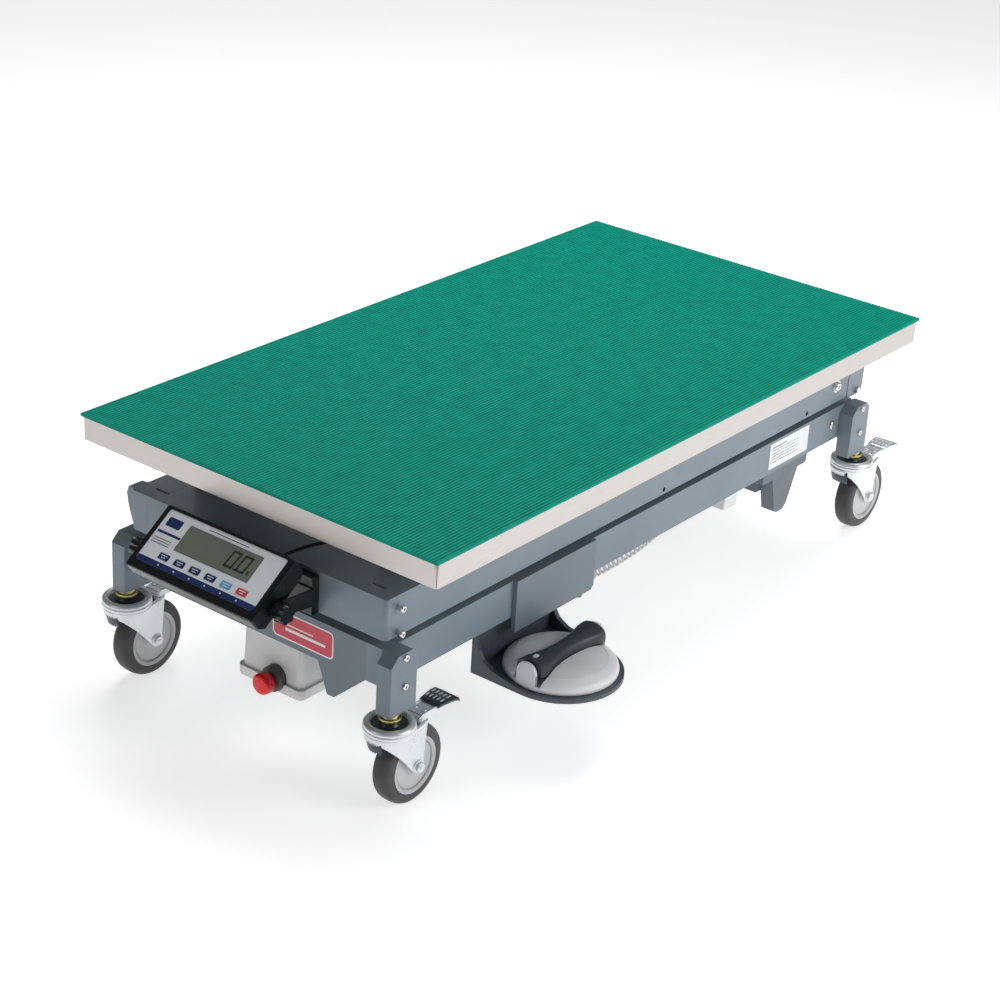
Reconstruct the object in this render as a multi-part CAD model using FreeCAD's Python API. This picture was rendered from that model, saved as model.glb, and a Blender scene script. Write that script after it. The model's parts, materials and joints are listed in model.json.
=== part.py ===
import FreeCAD, Part
import math
import os

os.makedirs("parts", exist_ok=True)

# ---- driving dimensions, in millimetres: x along the table, y across it, z up ----
PLATFORM_L = 1300.0
PLATFORM_W = 700.0
TOTAL_H = 432.0
MAT_T = 5.0
MAT_OVERHANG = 2.0
TRAY_H = 37.5
SHEET = 1.5

LEG_X = (-656.0, 641.0)
LOW_FRAME_X = (-641.0, 626.0)
LOW_FRAME_Z = (196.0, 257.0)
TOP_FRAME_X = (-639.0, 604.0)
TOP_FRAME_Z = (269.0, 334.0)
FRAME_HALF_W = 254.0
CORNER_BLOCK_W = 33.0
BEAM_T = 25.0
TOP_REAR_BEAM_T = 20.0
RAIL_T = 25.0
RAIL_WALL = 3.0
LEDGE_W = 26.0
LEDGE_T = 6.0

LEG_L = 57.0
LEG_T = 27.0
LEG_BOTTOM_Z = 162.0
LEG_CHAMFER = 15.0

# scissor: the fixed pivots stand one above the other, the rollers run at the other end
PIVOT_X = 559.0
LOW_PIVOT_Z = 227.0
TOP_PIVOT_Z = 301.0
ARM_SPAN = 1040.0
ARM_H = 44.0
ARM_T = 10.0
ARM_A_Y = 205.0
ARM_B_Y = 190.0
SHAFT_R = 12.0
CENTRE_SHAFT_R = 10.0
ROLLER_SHAFT_R = 8.0
ROLLER_R = 24.5
ROLLER_Y = (216.0, 228.0)
RUN_GAP = 0.4
ARM_TILT = math.degrees(math.asin((TOP_PIVOT_Z - LOW_PIVOT_Z) / ARM_SPAN))

CRANK_R = 80.0
CRANK_HALF_SWING = 19.0
CRANK_T = 12.0
CRANK_PIN_R = 7.0
ROD_R = 10.0
ROD_SLACK = 3.2

WHEEL_R = 62.5
TYRE_W = 32.0
HUB_R = 45.0
CASTOR_TRAIL = 42.0
CASTOR_OUTSET = 12.0
FORK_T = 3.0
FORK_IN = 19.0
AXLE_R = 6.0
HEAD_R = 39.0
HEAD_Z = (136.0, 150.0)
PEDAL_PIVOT = (50.0, 133.0)
PEDAL_REACH = 127.0
PEDAL_W = 34.0

INDICATOR_PIVOT = (-727.0, 307.0)
INDICATOR_TILT = 36.0
HOUSING_W = 250.0
HOUSING_X = (-39.0, 71.0)
HOUSING_Z = (-9.0, 25.0)

FOOT_CENTRE = (-314.0, -325.0)
FOOT_R = 88.0
FOOT_END_T = 6.0
CRADLE_R = 96.0
CRADLE_Z = 116.0
CRADLE_WALL = 8.0
FOOT_PIVOT_Z = 141.0
FOOT_PIN_R = 3.0

COVER_T = 2.0
SIDE_COVER_X = (-350.0, -153.0)
CONTROL_X = (-639.0, -575.0)
CONTROL_Y = (-102.0, 17.0)
CONTROL_SEAM_Z = 132.0
CONTROL_LEAN = 6.0
BUTTON_Y = -53.0
BUTTON_Z = 136.0
COLLAR_R = 20.0
COLLAR_REACH = 18.0
COLLAR_BACK = 4.0
MID_BEAM_X = (60.0, 150.0)
EAR_END_X = 658.0
LOAD_CELL_L = 130.0
LOAD_CELL_X = (-560.0, TOP_FRAME_X[1] - 4.0 - LOAD_CELL_L)
SHELF_END_X = -500.0
SHELF_T = 4.0
LOAD_CELL_Y = (-200.0, -170.0)

# cords: the curly one hangs under the near rail, the thin one arches over the front beam
JUNCTION_X = (232.0, 272.0)
FOOT_CORD_R = 10.0
FOOT_CORD_END = (FOOT_CENTRE[0] + CRADLE_R, -237.0, 181.0)
FOOT_CORD_ROUTE = [(JUNCTION_X[0], -206.0, 184.0), (178.0, -206.0, 184.0), (118.0, -212.0, 183.0),
                   (58.0, -226.0, 181.0), (0.0, -234.0, 179.5), (-60.0, -237.0, 179.0),
                   (-118.0, -238.0, 180.0), (-172.0, -237.0, 181.0), FOOT_CORD_END]
CABLE_R = 2.6
CABLE_START = (TOP_FRAME_X[0] - 8.0, -62.0, 337.0)
CABLE_SLANT = (0.0, -0.8, 0.6)
CABLE_ROUTE = [CABLE_START, (-647.0, -89.2, 357.4), (-629.0, -122.0, 374.0), (-598.0, -134.0, 371.0),
               (-566.0, -138.0, 366.0), (-549.0, -151.0, 364.0), (-549.0, LOAD_CELL_Y[1], 364.0)]

X = FreeCAD.Vector(1, 0, 0)
Y = FreeCAD.Vector(0, 1, 0)
Z = FreeCAD.Vector(0, 0, 1)
parts = {}


def vec(x, y, z):
    return FreeCAD.Vector(x, y, z)


def box(x0, x1, y0, y1, z0, z1):
    return Part.makeBox(x1 - x0, y1 - y0, z1 - z0, vec(x0, y0, z0))


def rod(start, end, radius):
    axis = end - start
    return Part.makeCylinder(radius, axis.Length, start, axis)


def across(x, z, y0, y1, radius):
    """A cylinder that runs across the table from y0 to y1."""
    return rod(vec(x, y0, z), vec(x, y1, z), radius)


def plate_xz(points, y0, y1):
    """A flat plate drawn in the x-z plane and thickened from y0 to y1."""
    corners = [vec(x, y0, z) for x, z in points]
    return Part.Face(Part.makePolygon(corners + corners[:1])).extrude(vec(0, y1 - y0, 0))


def plate_yz(points, x0, x1):
    """A flat plate drawn in the y-z plane and thickened from x0 to x1."""
    corners = [vec(x0, y, z) for y, z in points]
    return Part.Face(Part.makePolygon(corners + corners[:1])).extrude(vec(x1 - x0, 0, 0))


def fuse(shapes):
    joined = shapes[0]
    for shape in shapes[1:]:
        joined = joined.fuse(shape)
    return joined.removeSplitter()


def mirrored(shape):
    return shape.mirror(vec(0, 0, 0), Y)


def edges_along(shape, axis, keep=lambda middle: True):
    """The straight edges parallel to an axis whose middle point passes the test."""
    found = []
    for edge in shape.Edges:
        if not isinstance(edge.Curve, Part.Line):
            continue
        aligned = abs(abs(edge.Curve.Direction.dot(axis)) - 1.0) < 1e-6
        if aligned and keep(edge.CenterOfMass):
            found.append(edge)
    return found


def add_pair(name, near_shape):
    parts[name + "_near"] = near_shape
    parts[name + "_far"] = mirrored(near_shape)


def write_parts():
    """Centre the footprint of the whole table on the origin and write every piece."""
    whole = FreeCAD.BoundBox()
    for shape in parts.values():
        whole.add(shape.BoundBox)
    to_origin = vec(-round(whole.Center.x), -round(whole.Center.y), -whole.ZMin)
    print("moved by", to_origin, "size", whole.XLength, whole.YLength, whole.ZLength)
    for name, shape in parts.items():
        shape.translate(to_origin)
        shape.exportStep("parts/" + name + ".step")


# ---- lower frame ----
def rail(x_range, z_range, ledge_at_top, bores):
    """A closed rectangular tube on the near side, with an inward ledge for the rollers."""
    x0, x1 = x_range
    z0, z1 = z_range
    outer = box(x0, x1, -FRAME_HALF_W, -FRAME_HALF_W + RAIL_T, z0, z1)
    rounded = edges_along(outer, Z, lambda middle: middle.y < -FRAME_HALF_W + 1.0)
    outer = outer.makeFillet(6.0, rounded)
    ledge_z = z1 - LEDGE_T if ledge_at_top else z0
    inner_y = -FRAME_HALF_W + RAIL_T
    ledge = box(x0 + 30.0, x1 - 30.0, inner_y, inner_y + LEDGE_W, ledge_z, ledge_z + LEDGE_T)
    hollow = box(x0 + RAIL_WALL, x1 - RAIL_WALL, -FRAME_HALF_W + RAIL_WALL, inner_y - RAIL_WALL,
                 z0 + RAIL_WALL, z1 - RAIL_WALL)
    blocks = [box(x, x + BEAM_T, inner_y, -FRAME_HALF_W + CORNER_BLOCK_W, z0, z1)
              for x in (x0, x1 - BEAM_T)]
    tube = fuse([outer, ledge] + blocks).cut(hollow)
    for x, z, radius in bores:
        tube = tube.cut(across(x, z, -FRAME_HALF_W + RAIL_WALL, inner_y + 1.0, radius))
    return tube


def cross_beam(x0, x1, z0, z1):
    half_w = FRAME_HALF_W - CORNER_BLOCK_W
    outer = box(x0, x1, -half_w, half_w, z0, z1)
    return outer.cut(box(x0 + RAIL_WALL, x1 - RAIL_WALL, -half_w + RAIL_WALL, half_w - RAIL_WALL,
                         z0 + RAIL_WALL, z1 - RAIL_WALL))


def corners_of(end_inset):
    """The four corner points under the leg posts, this far in from the frame's ends."""
    ends = (LEG_X[0] + end_inset, LEG_X[1] - end_inset)
    side = FRAME_HALF_W + LEG_T / 2
    return [(ends[0], -side), (ends[1], -side), (ends[1], side), (ends[0], side)]


def leg_positions():
    return corners_of(LEG_L / 2)


def castor_positions():
    """The swivel axes stand a little outside the middle of the posts."""
    return corners_of(LEG_L / 2 - CASTOR_OUTSET)


def leg_post(x, y):
    half = LEG_L / 2
    z1 = LOW_FRAME_Z[1]
    profile = [(x - half, LEG_BOTTOM_Z), (x + half, LEG_BOTTOM_Z),
               (x + half, z1 - LEG_CHAMFER * 0.7), (x + half - LEG_CHAMFER * 0.7, z1),
               (x - half + LEG_CHAMFER, z1), (x - half, z1 - LEG_CHAMFER)]
    post = plate_xz(profile, y - LEG_T / 2, y + LEG_T / 2)
    return post.makeFillet(1.5, edges_along(post, Z))


def button_screw(x, y, z, outward, head_r=5.5, head_t=3.4):
    """A domed socket screw head that stands on a face turned along y."""
    base = vec(x, y, z)
    axis = vec(0, outward, 0)
    head = Part.makeCylinder(head_r, head_t, base, axis)
    head = head.makeFillet(head_t * 0.55, [e for e in head.Edges if abs(e.CenterOfMass.y - y) > head_t - 0.1])
    socket = Part.makeCylinder(head_r * 0.42, head_t * 0.6, base + axis * (head_t * 0.45), axis)
    return head.cut(socket)


def base_screws():
    mid_z = (LOW_FRAME_Z[0] + LOW_FRAME_Z[1]) / 2
    heads = []
    for x, y in leg_positions():
        outward = -1 if y < 0 else 1
        face = y + outward * LEG_T / 2
        heads += [button_screw(x + 2.0, face, mid_z + dz, outward) for dz in (-23.0, 23.0)]
    for side in (-1, 1):
        heads.append(button_screw(PIVOT_X, side * FRAME_HALF_W, LOW_PIVOT_Z, side, 8.0, 4.0))
    return Part.makeCompound(heads)


def stem_nuts():
    nuts = []
    for x, y in castor_positions():
        ring = rod(vec(x, y, 150.6), vec(x, y, 157.0), 17.0)
        collar = rod(vec(x, y, 157.0), vec(x, y, LEG_BOTTOM_Z), 12.5)
        nuts.append(fuse([ring, collar]))
    return Part.makeCompound(nuts)


def front_cover():
    """The end cover of the lower frame, with the wing that hangs beside the control box."""
    x0 = LOW_FRAME_X[0]
    half_w = FRAME_HALF_W - CORNER_BLOCK_W
    z0, z1 = LOW_FRAME_Z
    tip_z = PEDAL_PIVOT[1] + 11.0
    wing = [(-half_w, z0), (-163.0, tip_z), (-149.0, tip_z), (-130.0, z0 - 3.0)]
    profile = [(-half_w, z1)] + wing + [(half_w, z0 - 3.0), (half_w, z1)]
    plate = plate_yz(profile, x0, x0 + COVER_T)
    lip = box(x0 + COVER_T, x0 + 16.0, -161.0, -149.0, tip_z, tip_z + 2.0)
    return fuse([plate, lip])


def side_cover():
    """The apron panel that stands off the near rail beside the foot switch."""
    x0, x1 = SIDE_COVER_X
    y0, y1 = -FRAME_HALF_W - 8.0, -FRAME_HALF_W
    profile = [(x0, 173.0), (x1 - 7.0, 173.0), (x1, 180.0), (x1, 258.0), (x0, 258.0)]
    panel = plate_xz(profile, y0, y1)
    lip = box(x0 + 3.0, x1 - 10.0, y1, y1 + 5.0, 173.0, 175.0)
    bolt = rod(vec(x1 - 30.0, y0 + 5.0, 168.5), vec(x1 - 30.0, y0 + 5.0, 173.0), 4.5)
    return fuse([panel, lip, bolt])


# ---- control box on the lower frame ----
def collar_room():
    """The round recess that the stop button's collar sits in."""
    back_x = CONTROL_X[0] - COLLAR_BACK
    return rod(vec(back_x - 30.0, BUTTON_Y, BUTTON_Z), vec(back_x, BUTTON_Y, BUTTON_Z), COLLAR_R + 0.5)


def control_shell():
    """The upper half of the box; its front leans out towards the seam."""
    x0, x1 = CONTROL_X
    y0, y1 = CONTROL_Y
    profile = [(x0 - CONTROL_LEAN, CONTROL_SEAM_Z), (x1, CONTROL_SEAM_Z), (x1, 208.0), (x0, 208.0)]
    shell = plate_xz(profile, y0, y1)
    upright = [edge for edge in shell.Edges if abs(edge.tangentAt(edge.FirstParameter).z) > 0.99]
    shell = shell.makeFillet(9.0, upright)
    above_beam = box(x0 + BEAM_T, x1 + 1.0, y0 - 1.0, y1 + 1.0, LOW_FRAME_Z[0], 209.0)
    beyond_cover = box(x0 - 30.0, x0, y0 - 1.0, y1 + 1.0, LOW_FRAME_Z[0] - 3.0, 209.0)
    return shell.cut(above_beam).cut(beyond_cover).cut(collar_room())


def control_base():
    x0, x1 = CONTROL_X[0] - CONTROL_LEAN, CONTROL_X[1]
    y0, y1 = CONTROL_Y
    tray = box(x0 - 5.0, x1 + 5.0, y0 - 5.0, y1 + 5.0, 115.0, CONTROL_SEAM_Z)
    tray = tray.makeFillet(11.0, edges_along(tray, Z))
    tray = tray.makeFillet(3.0, [e for e in tray.Edges if abs(e.CenterOfMass.z - 115.0) < 0.1])
    return tray.cut(collar_room())


def stop_button():
    """Mushroom head on a stem that slides in the collar."""
    face = CONTROL_X[0] - COLLAR_REACH
    stem = rod(vec(face - 7.0, BUTTON_Y, BUTTON_Z), vec(face + 5.0, BUTTON_Y, BUTTON_Z), 9.0)
    head = rod(vec(face - 24.0, BUTTON_Y, BUTTON_Z), vec(face - 7.0, BUTTON_Y, BUTTON_Z), 17.0)
    rims = [e for e in head.Edges if e.Length > 50.0]
    return fuse([stem, head.makeFillet(3.0, rims)])


def stop_collar():
    face = CONTROL_X[0] - COLLAR_REACH
    back = CONTROL_X[0] - COLLAR_BACK
    ring = rod(vec(face, BUTTON_Y, BUTTON_Z), vec(back, BUTTON_Y, BUTTON_Z), COLLAR_R)
    front = [e for e in ring.Edges if abs(e.CenterOfMass.x - face) < 0.1]
    ring = ring.makeFillet(2.0, front)
    return ring.cut(rod(vec(face - 1.0, BUTTON_Y, BUTTON_Z), vec(back - 2.0, BUTTON_Y, BUTTON_Z), 9.6))


# ---- foot switch ----
def foot_cradle():
    cx, cy = FOOT_CENTRE
    x0, x1 = cx - CRADLE_R, cx + CRADLE_R
    back_y = -FRAME_HALF_W + RAIL_T
    z0, z1 = CRADLE_Z, LOW_FRAME_Z[0]
    floor_z = z0 + CRADLE_WALL
    disc = rod(vec(cx, cy, z0), vec(cx, cy, floor_z), CRADLE_R)
    floor = fuse([disc, box(x0, x1, cy, back_y, z0, floor_z)])
    # each side wall drops from the rail in a hollow curve and dies out on the floor
    profile = [(back_y, z0 + 1.0), (back_y, z1), (back_y - 9.0, z1), (back_y - 9.0, z0 + 54.0),
               (back_y - 12.0, z0 + 40.0), (back_y - 21.0, z0 + 27.0), (back_y - 38.0, z0 + 18.0),
               (back_y - 64.0, z0 + 12.5), (cy + 2.0, floor_z), (cy + 2.0, z0 + 1.0)]
    left = plate_yz(profile, x0, x0 + CRADLE_WALL)
    right = plate_yz(profile, x1 - CRADLE_WALL, x1)
    back = box(x0, x1, back_y - 6.0, back_y, z0, z1)
    cord_x, cord_y, cord_z = FOOT_CORD_END
    gland = rod(vec(cord_x - CRADLE_WALL, cord_y, cord_z), vec(*FOOT_CORD_END), FOOT_CORD_R + 1.0)
    bowl = fuse([floor, left, right, back, gland])
    panel_room = box(SIDE_COVER_X[0] - 3.0, SIDE_COVER_X[1], -FRAME_HALF_W - 10.0, -FRAME_HALF_W + 7.0,
                     166.0, 262.0)
    return bowl.cut(panel_room)


def foot_switch_body():
    cx, cy = FOOT_CENTRE
    z0 = CRADLE_Z + CRADLE_WALL
    profile = [(0.0, z0), (FOOT_R - 2.0, z0), (FOOT_R, z0 + 2.0), (FOOT_R, z0 + 10.0),
               (FOOT_R - 6.0, z0 + 17.0), (FOOT_R - 22.0, z0 + 23.5), (0.0, z0 + 27.0)]
    corners = [vec(cx + r, cy, z) for r, z in profile]
    section = Part.Face(Part.makePolygon(corners + corners[:1]))
    dome = section.revolve(vec(cx, cy, 0), Z, 360)
    groove = box(cx - 90.0, cx + 90.0, cy - 26.5, cy + 26.5, z0 + 5.0, z0 + 60.0)
    ends = [foot_end(side) for side in (-1, 1)]
    post = box(cx - 6.0, cx + 6.0, cy - 5.0, cy + 5.0, z0 + 4.0, FOOT_PIVOT_Z + 4.0)
    pin = across(cx, FOOT_PIVOT_Z, cy - 12.0, cy + 12.0, FOOT_PIN_R)
    return fuse([dome.cut(groove), post, pin] + ends)


def tunnel(x0, x1, half_w, z0, z1):
    """A bar along x with a half-round top."""
    cy = FOOT_CENTRE[1]
    block = box(x0, x1, cy - half_w, cy + half_w, z0, z1)
    round_z = z1 - half_w
    top = rod(vec(x0, cy, round_z), vec(x1, cy, round_z), half_w)
    return block.common(fuse([top, box(x0, x1, cy - half_w, cy + half_w, z0, round_z)]))


def foot_end(side):
    """One of the arch-shaped cheeks that close the ends of the rocker bar."""
    cx = FOOT_CENTRE[0]
    z0 = CRADLE_Z + CRADLE_WALL
    inner, outer = sorted((cx + side * (FOOT_R - FOOT_END_T), cx + side * FOOT_R))
    return tunnel(inner, outer, 19.0, z0 + 3.0, z0 + 41.0)


def foot_switch_bar():
    """The rocker: wide at both ends, waisted in the middle and slotted over its pin."""
    cx, cy = FOOT_CENTRE
    z0 = CRADLE_Z + CRADLE_WALL
    half_l = FOOT_R - FOOT_END_T - 2.6
    bar = tunnel(cx - half_l, cx + half_l, 24.0, z0 + 12.0, z0 + 46.0)
    waists = []
    for side in (-1, 1):
        points = [vec(cx - 66.0, cy + side * 26.0, 0), vec(cx, cy + side * 15.5, 0),
                  vec(cx + 66.0, cy + side * 26.0, 0)]
        arc = Part.Arc(*points).toShape()
        far = cy + side * 40.0
        lines = [Part.makeLine(points[2], vec(cx + 66.0, far, 0)),
                 Part.makeLine(vec(cx + 66.0, far, 0), vec(cx - 66.0, far, 0)),
                 Part.makeLine(vec(cx - 66.0, far, 0), points[0])]
        face = Part.Face(Part.Wire(Part.__sortEdges__([arc] + lines)))
        waists.append(face.extrude(vec(0, 0, 260.0)))
    for waist in waists:
        bar = bar.cut(waist)
    for side in (-1, 1):
        # the underside rises towards each end so that the bar can rock
        wedge = [(cx, z0 + 10.0), (cx + side * 90.0, z0 + 10.0), (cx + side * 90.0, z0 + 21.0)]
        bar = bar.cut(plate_xz(wedge, cy - 30.0, cy + 30.0))
    slot = box(cx - 12.0, cx + 12.0, cy - 6.0, cy + 6.0, z0 + 10.0, FOOT_PIVOT_Z + 7.0)
    pin_bore = across(cx, FOOT_PIVOT_Z, cy - 12.5, cy + 12.5, FOOT_PIN_R + 0.06)
    return bar.cut(slot).cut(pin_bore)


# ---- tubes for the cords ----
def route_solid(points, radius):
    """A tube of straight runs joined by arcs that touch both runs."""
    edges = []
    start = points[0]
    for before, corner, after in zip(points, points[1:], points[2:]):
        into = (corner - before).normalize()
        out = (after - corner).normalize()
        turn = into.getAngle(out)
        shorter = min((corner - before).Length, (after - corner).Length)
        cut_back = 0.45 * shorter
        bend_r = cut_back / math.tan(turn / 2)
        print("bend radius %.1f" % bend_r)
        enter = corner - into * cut_back
        leave = corner + out * cut_back
        centre = corner + (out - into).normalize() * (bend_r / math.cos(turn / 2))
        middle = centre + (corner - centre).normalize() * bend_r
        edges.append(Part.makeLine(start, enter))
        edges.append(Part.Arc(enter, middle, leave).toShape())
        start = leave
    edges.append(Part.makeLine(start, points[-1]))
    spine = Part.Wire(edges)
    section = Part.Wire(Part.makeCircle(radius, points[0], points[1] - points[0]))
    tube = spine.makePipeShell([section], True, False)
    print("length %.0f mm, volume ratio %.3f" % (spine.Length,
                                                  tube.Volume / (math.pi * radius ** 2 * spine.Length)))
    return tube


def foot_switch_cord():
    return route_solid([vec(*point) for point in FOOT_CORD_ROUTE], FOOT_CORD_R)


def junction_box():
    x0, x1 = JUNCTION_X
    body = box(x0, x1, -250.0, -190.0, 170.0, LOW_FRAME_Z[0])
    return body.makeFillet(4.0, edges_along(body, Z))


def side_pod():
    """The moulded housing that hangs under the near rail."""
    y0 = -FRAME_HALF_W
    flange = box(343.0, 483.0, y0, y0 + 26.0, 180.0, LOW_FRAME_Z[0])
    flange = flange.makeFillet(5.0, edges_along(flange, Y, lambda middle: middle.z < 181.0))
    profile = [(375.0, 181.0), (392.0, 114.0), (402.0, 110.0), (420.0, 111.0), (430.0, 120.0), (456.0, 181.0)]
    body = plate_xz(profile, y0, y0 + 26.0)
    body = body.makeFillet(4.0, edges_along(body, Y, lambda middle: middle.z < 130.0))
    back = box(368.0, 440.0, y0 + 26.0, y0 + 66.0, 150.0, 190.0)
    return fuse([flange, body, back])


# ---- scissor ----
def arm(x0, z0, x1, z1, y0, bore_r):
    """A flat arm with round ends between two pivots and a centre bore."""
    start, end = vec(x0, y0, z0), vec(x1, y0, z1)
    length = (end - start).Length
    flat = box(0.0, length, 0.0, ARM_T, -ARM_H / 2, ARM_H / 2)
    ends = [across(x, 0.0, 0.0, ARM_T, ARM_H / 2) for x in (0.0, length)]
    bar = fuse([flat] + ends)
    for x, radius in ((0.0, bore_r[0]), (length / 2, bore_r[1]), (length, bore_r[2])):
        bar = bar.cut(across(x, 0.0, -1.0, ARM_T + 1.0, radius))
    bar.rotate(vec(0, 0, 0), Y, -math.degrees(math.atan2(z1 - z0, x1 - x0)))
    bar.translate(start)
    return bar


def roller_x():
    return PIVOT_X - ARM_SPAN * math.cos(math.radians(ARM_TILT))


def arm_a():
    bores = (ROLLER_SHAFT_R + RUN_GAP, CENTRE_SHAFT_R, SHAFT_R)
    return arm(roller_x(), TOP_PIVOT_Z, PIVOT_X, LOW_PIVOT_Z, -ARM_A_Y - ARM_T, bores)


def arm_b():
    bores = (ROLLER_SHAFT_R + RUN_GAP, CENTRE_SHAFT_R + RUN_GAP, SHAFT_R + RUN_GAP)
    return arm(roller_x(), LOW_PIVOT_Z, PIVOT_X, TOP_PIVOT_Z, -ARM_B_Y - ARM_T, bores)


def roller_axle(z):
    """Both rollers of one pair with the axle that joins them."""
    y0, y1 = ROLLER_Y
    axle = across(roller_x(), z, -y1, y1, ROLLER_SHAFT_R)
    near = across(roller_x(), z, -y1, -y0, ROLLER_R)
    near = near.makeFillet(1.5, [e for e in near.Edges if e.Length > 100.0 and not isinstance(e.Curve, Part.Line)])
    return fuse([axle, near, mirrored(near)])


def crank_tip():
    swing = math.radians(CRANK_HALF_SWING)
    return PIVOT_X + CRANK_R * math.sin(swing), LOW_PIVOT_Z - CRANK_R * math.cos(swing)


def crank_shaft():
    """The lower fixed shaft with the lever that the drive pulls on."""
    reach = FRAME_HALF_W - RAIL_WALL - 1.0
    shaft = across(PIVOT_X, LOW_PIVOT_Z, -reach, reach, SHAFT_R)
    tip_x, tip_z = crank_tip()
    levers = []
    for y0 in (-26.0, 26.0 - CRANK_T):
        flat = box(0.0, CRANK_R, y0, y0 + CRANK_T, -15.0, 15.0)
        ends = [across(0.0, 0.0, y0, y0 + CRANK_T, 24.0), across(CRANK_R, 0.0, y0, y0 + CRANK_T, 15.0)]
        lever = fuse([flat] + ends)
        lever.rotate(vec(0, 0, 0), Y, 90.0 - CRANK_HALF_SWING)
        lever.translate(vec(PIVOT_X, 0, LOW_PIVOT_Z))
        levers.append(lever)
    pin = across(tip_x, tip_z, -26.0, 26.0, CRANK_PIN_R)
    return fuse([shaft, pin] + levers)


def centre_shaft():
    centre_x = (roller_x() + PIVOT_X) / 2
    centre_z = (LOW_PIVOT_Z + TOP_PIVOT_Z) / 2
    reach = ARM_A_Y + ARM_T
    shaft = across(centre_x, centre_z, -reach, reach, CENTRE_SHAFT_R)
    heads = [across(centre_x, centre_z, side * reach, side * (reach + 4.0), 16.0) for side in (-1, 1)]
    return fuse([shaft] + heads)


def upper_shaft():
    reach = FRAME_HALF_W - RAIL_WALL - 1.0
    return across(PIVOT_X, TOP_PIVOT_Z, -reach, reach, SHAFT_R)


# ---- drive ----
def rod_axis_z():
    swing = math.radians(CRANK_HALF_SWING)
    return LOW_PIVOT_Z - CRANK_R * (1 + math.cos(swing)) / 2


def actuator_rod():
    tip_x, tip_z = crank_tip()
    shank = rod(vec(tip_x - 280.0, 0, tip_z), vec(tip_x - 10.0, 0, tip_z), ROD_R)
    eye = across(tip_x, tip_z, -11.0, 11.0, 14.0)
    return fuse([shank, eye]).cut(across(tip_x, tip_z, -12.0, 12.0, CRANK_PIN_R + RUN_GAP))


def actuator_body():
    z = rod_axis_z()
    x0, x1 = MID_BEAM_X
    gearbox = box(x0 - 60.0, x1, -38.0, 38.0, z - 34.0, LOW_FRAME_Z[0])
    gearbox = gearbox.makeFillet(6.0, edges_along(gearbox, X, lambda middle: middle.z < z))
    motor = rod(vec(x0 - 190.0, 0, z + 2.0), vec(x0 - 60.0, 0, z + 2.0), 30.0)
    tube = rod(vec(x1, 0, z), vec(x1 + 290.0, 0, z), 22.0)
    body = fuse([gearbox, motor, tube])
    return body.cut(rod(vec(x1 - 60.0, 0, z), vec(x1 + 300.0, 0, z), ROD_R + ROD_SLACK))


def mid_beam():
    x0, x1 = MID_BEAM_X
    half_w = FRAME_HALF_W - RAIL_T - LEDGE_W
    return box(x0, x1, -half_w, half_w, LOW_FRAME_Z[0], LOW_FRAME_Z[0] + LEDGE_T)


# ---- upper frame ----
def top_rail():
    tube = rail(TOP_FRAME_X, TOP_FRAME_Z, True, [(PIVOT_X, TOP_PIVOT_Z, SHAFT_R)])
    for x in (36.0, 467.0):
        tube = tube.cut(across(x, TOP_FRAME_Z[0] + 8.0, -FRAME_HALF_W - 1.0, -FRAME_HALF_W + 4.0, 4.0))
    return tube


def far_corner_guard():
    """The flared guard on the outer side of the far rail, at the indicator end."""
    y0 = FRAME_HALF_W
    z0, z1 = TOP_FRAME_Z
    profile = [(y0, z1), (y0 + 12.0, z1 - 1.0), (y0 + 16.0, z1 - 12.0), (y0 + 13.0, z1 - 30.0),
               (y0 + 4.0, z0 + 6.0), (y0, z0 + 3.0)]
    return plate_yz(profile, TOP_FRAME_X[0] + 6.0, TOP_FRAME_X[0] + 34.0)


def top_beam_front():
    """The front cross beam with the shelf that the front load cells stand on."""
    x0, x1 = TOP_FRAME_X[0], TOP_FRAME_X[0] + BEAM_T
    z1 = TOP_FRAME_Z[1]
    inside = FRAME_HALF_W - RAIL_T - LEDGE_W
    shelf = box(x1, SHELF_END_X, -inside, inside, z1 - SHELF_T, z1)
    return fuse([cross_beam(x0, x1, *TOP_FRAME_Z), shelf])


def top_beam_rear():
    """The rear cross beam with an end plate and a downward ear behind each rail."""
    z0, z1 = TOP_FRAME_Z
    x1 = TOP_FRAME_X[1]
    beam = cross_beam(x1 - TOP_REAR_BEAM_T, x1, z0, z1)
    pieces = [beam]
    for side in (-1, 1):
        plate_y = sorted((side * (FRAME_HALF_W - RAIL_T - 20.0), side * (FRAME_HALF_W - 1.0)))
        ear_y = sorted((side * (FRAME_HALF_W - 7.0), side * (FRAME_HALF_W - 1.0)))
        pieces.append(box(x1, x1 + 5.0, plate_y[0], plate_y[1], z0, z1))
        profile = [(x1, z0 - 3.0), (x1, z1), (EAR_END_X, z1), (EAR_END_X - 5.0, z0 - 6.0), (x1 + 8.0, z0 - 6.0)]
        pieces.append(plate_xz(profile, ear_y[0], ear_y[1]))
    return fuse(pieces)


def frame_screws():
    """Stand-off screws at the near front corner, pivot screws and the bolts of the rear ears."""
    heads = []
    for z in (276.0, 316.0):
        x, face = TOP_FRAME_X[0] + 24.0, -FRAME_HALF_W
        sleeve = across(x, z, face - 9.0, face, 4.2)
        heads.append(fuse([sleeve, button_screw(x, face - 9.0, z, -1, 5.6, 3.6)]))
    for side in (-1, 1):
        face = side * FRAME_HALF_W
        washer = across(PIVOT_X, TOP_PIVOT_Z, face, face + side * 1.6, 11.0)
        heads.append(fuse([washer, button_screw(PIVOT_X, face + side * 1.6, TOP_PIVOT_Z, side, 8.0, 5.0)]))
        ear = side * (FRAME_HALF_W - 1.0)
        heads.append(across(EAR_END_X - 22.0, 271.0, ear, ear + side * 5.0, 6.0))
    return Part.makeCompound(heads)


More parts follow.
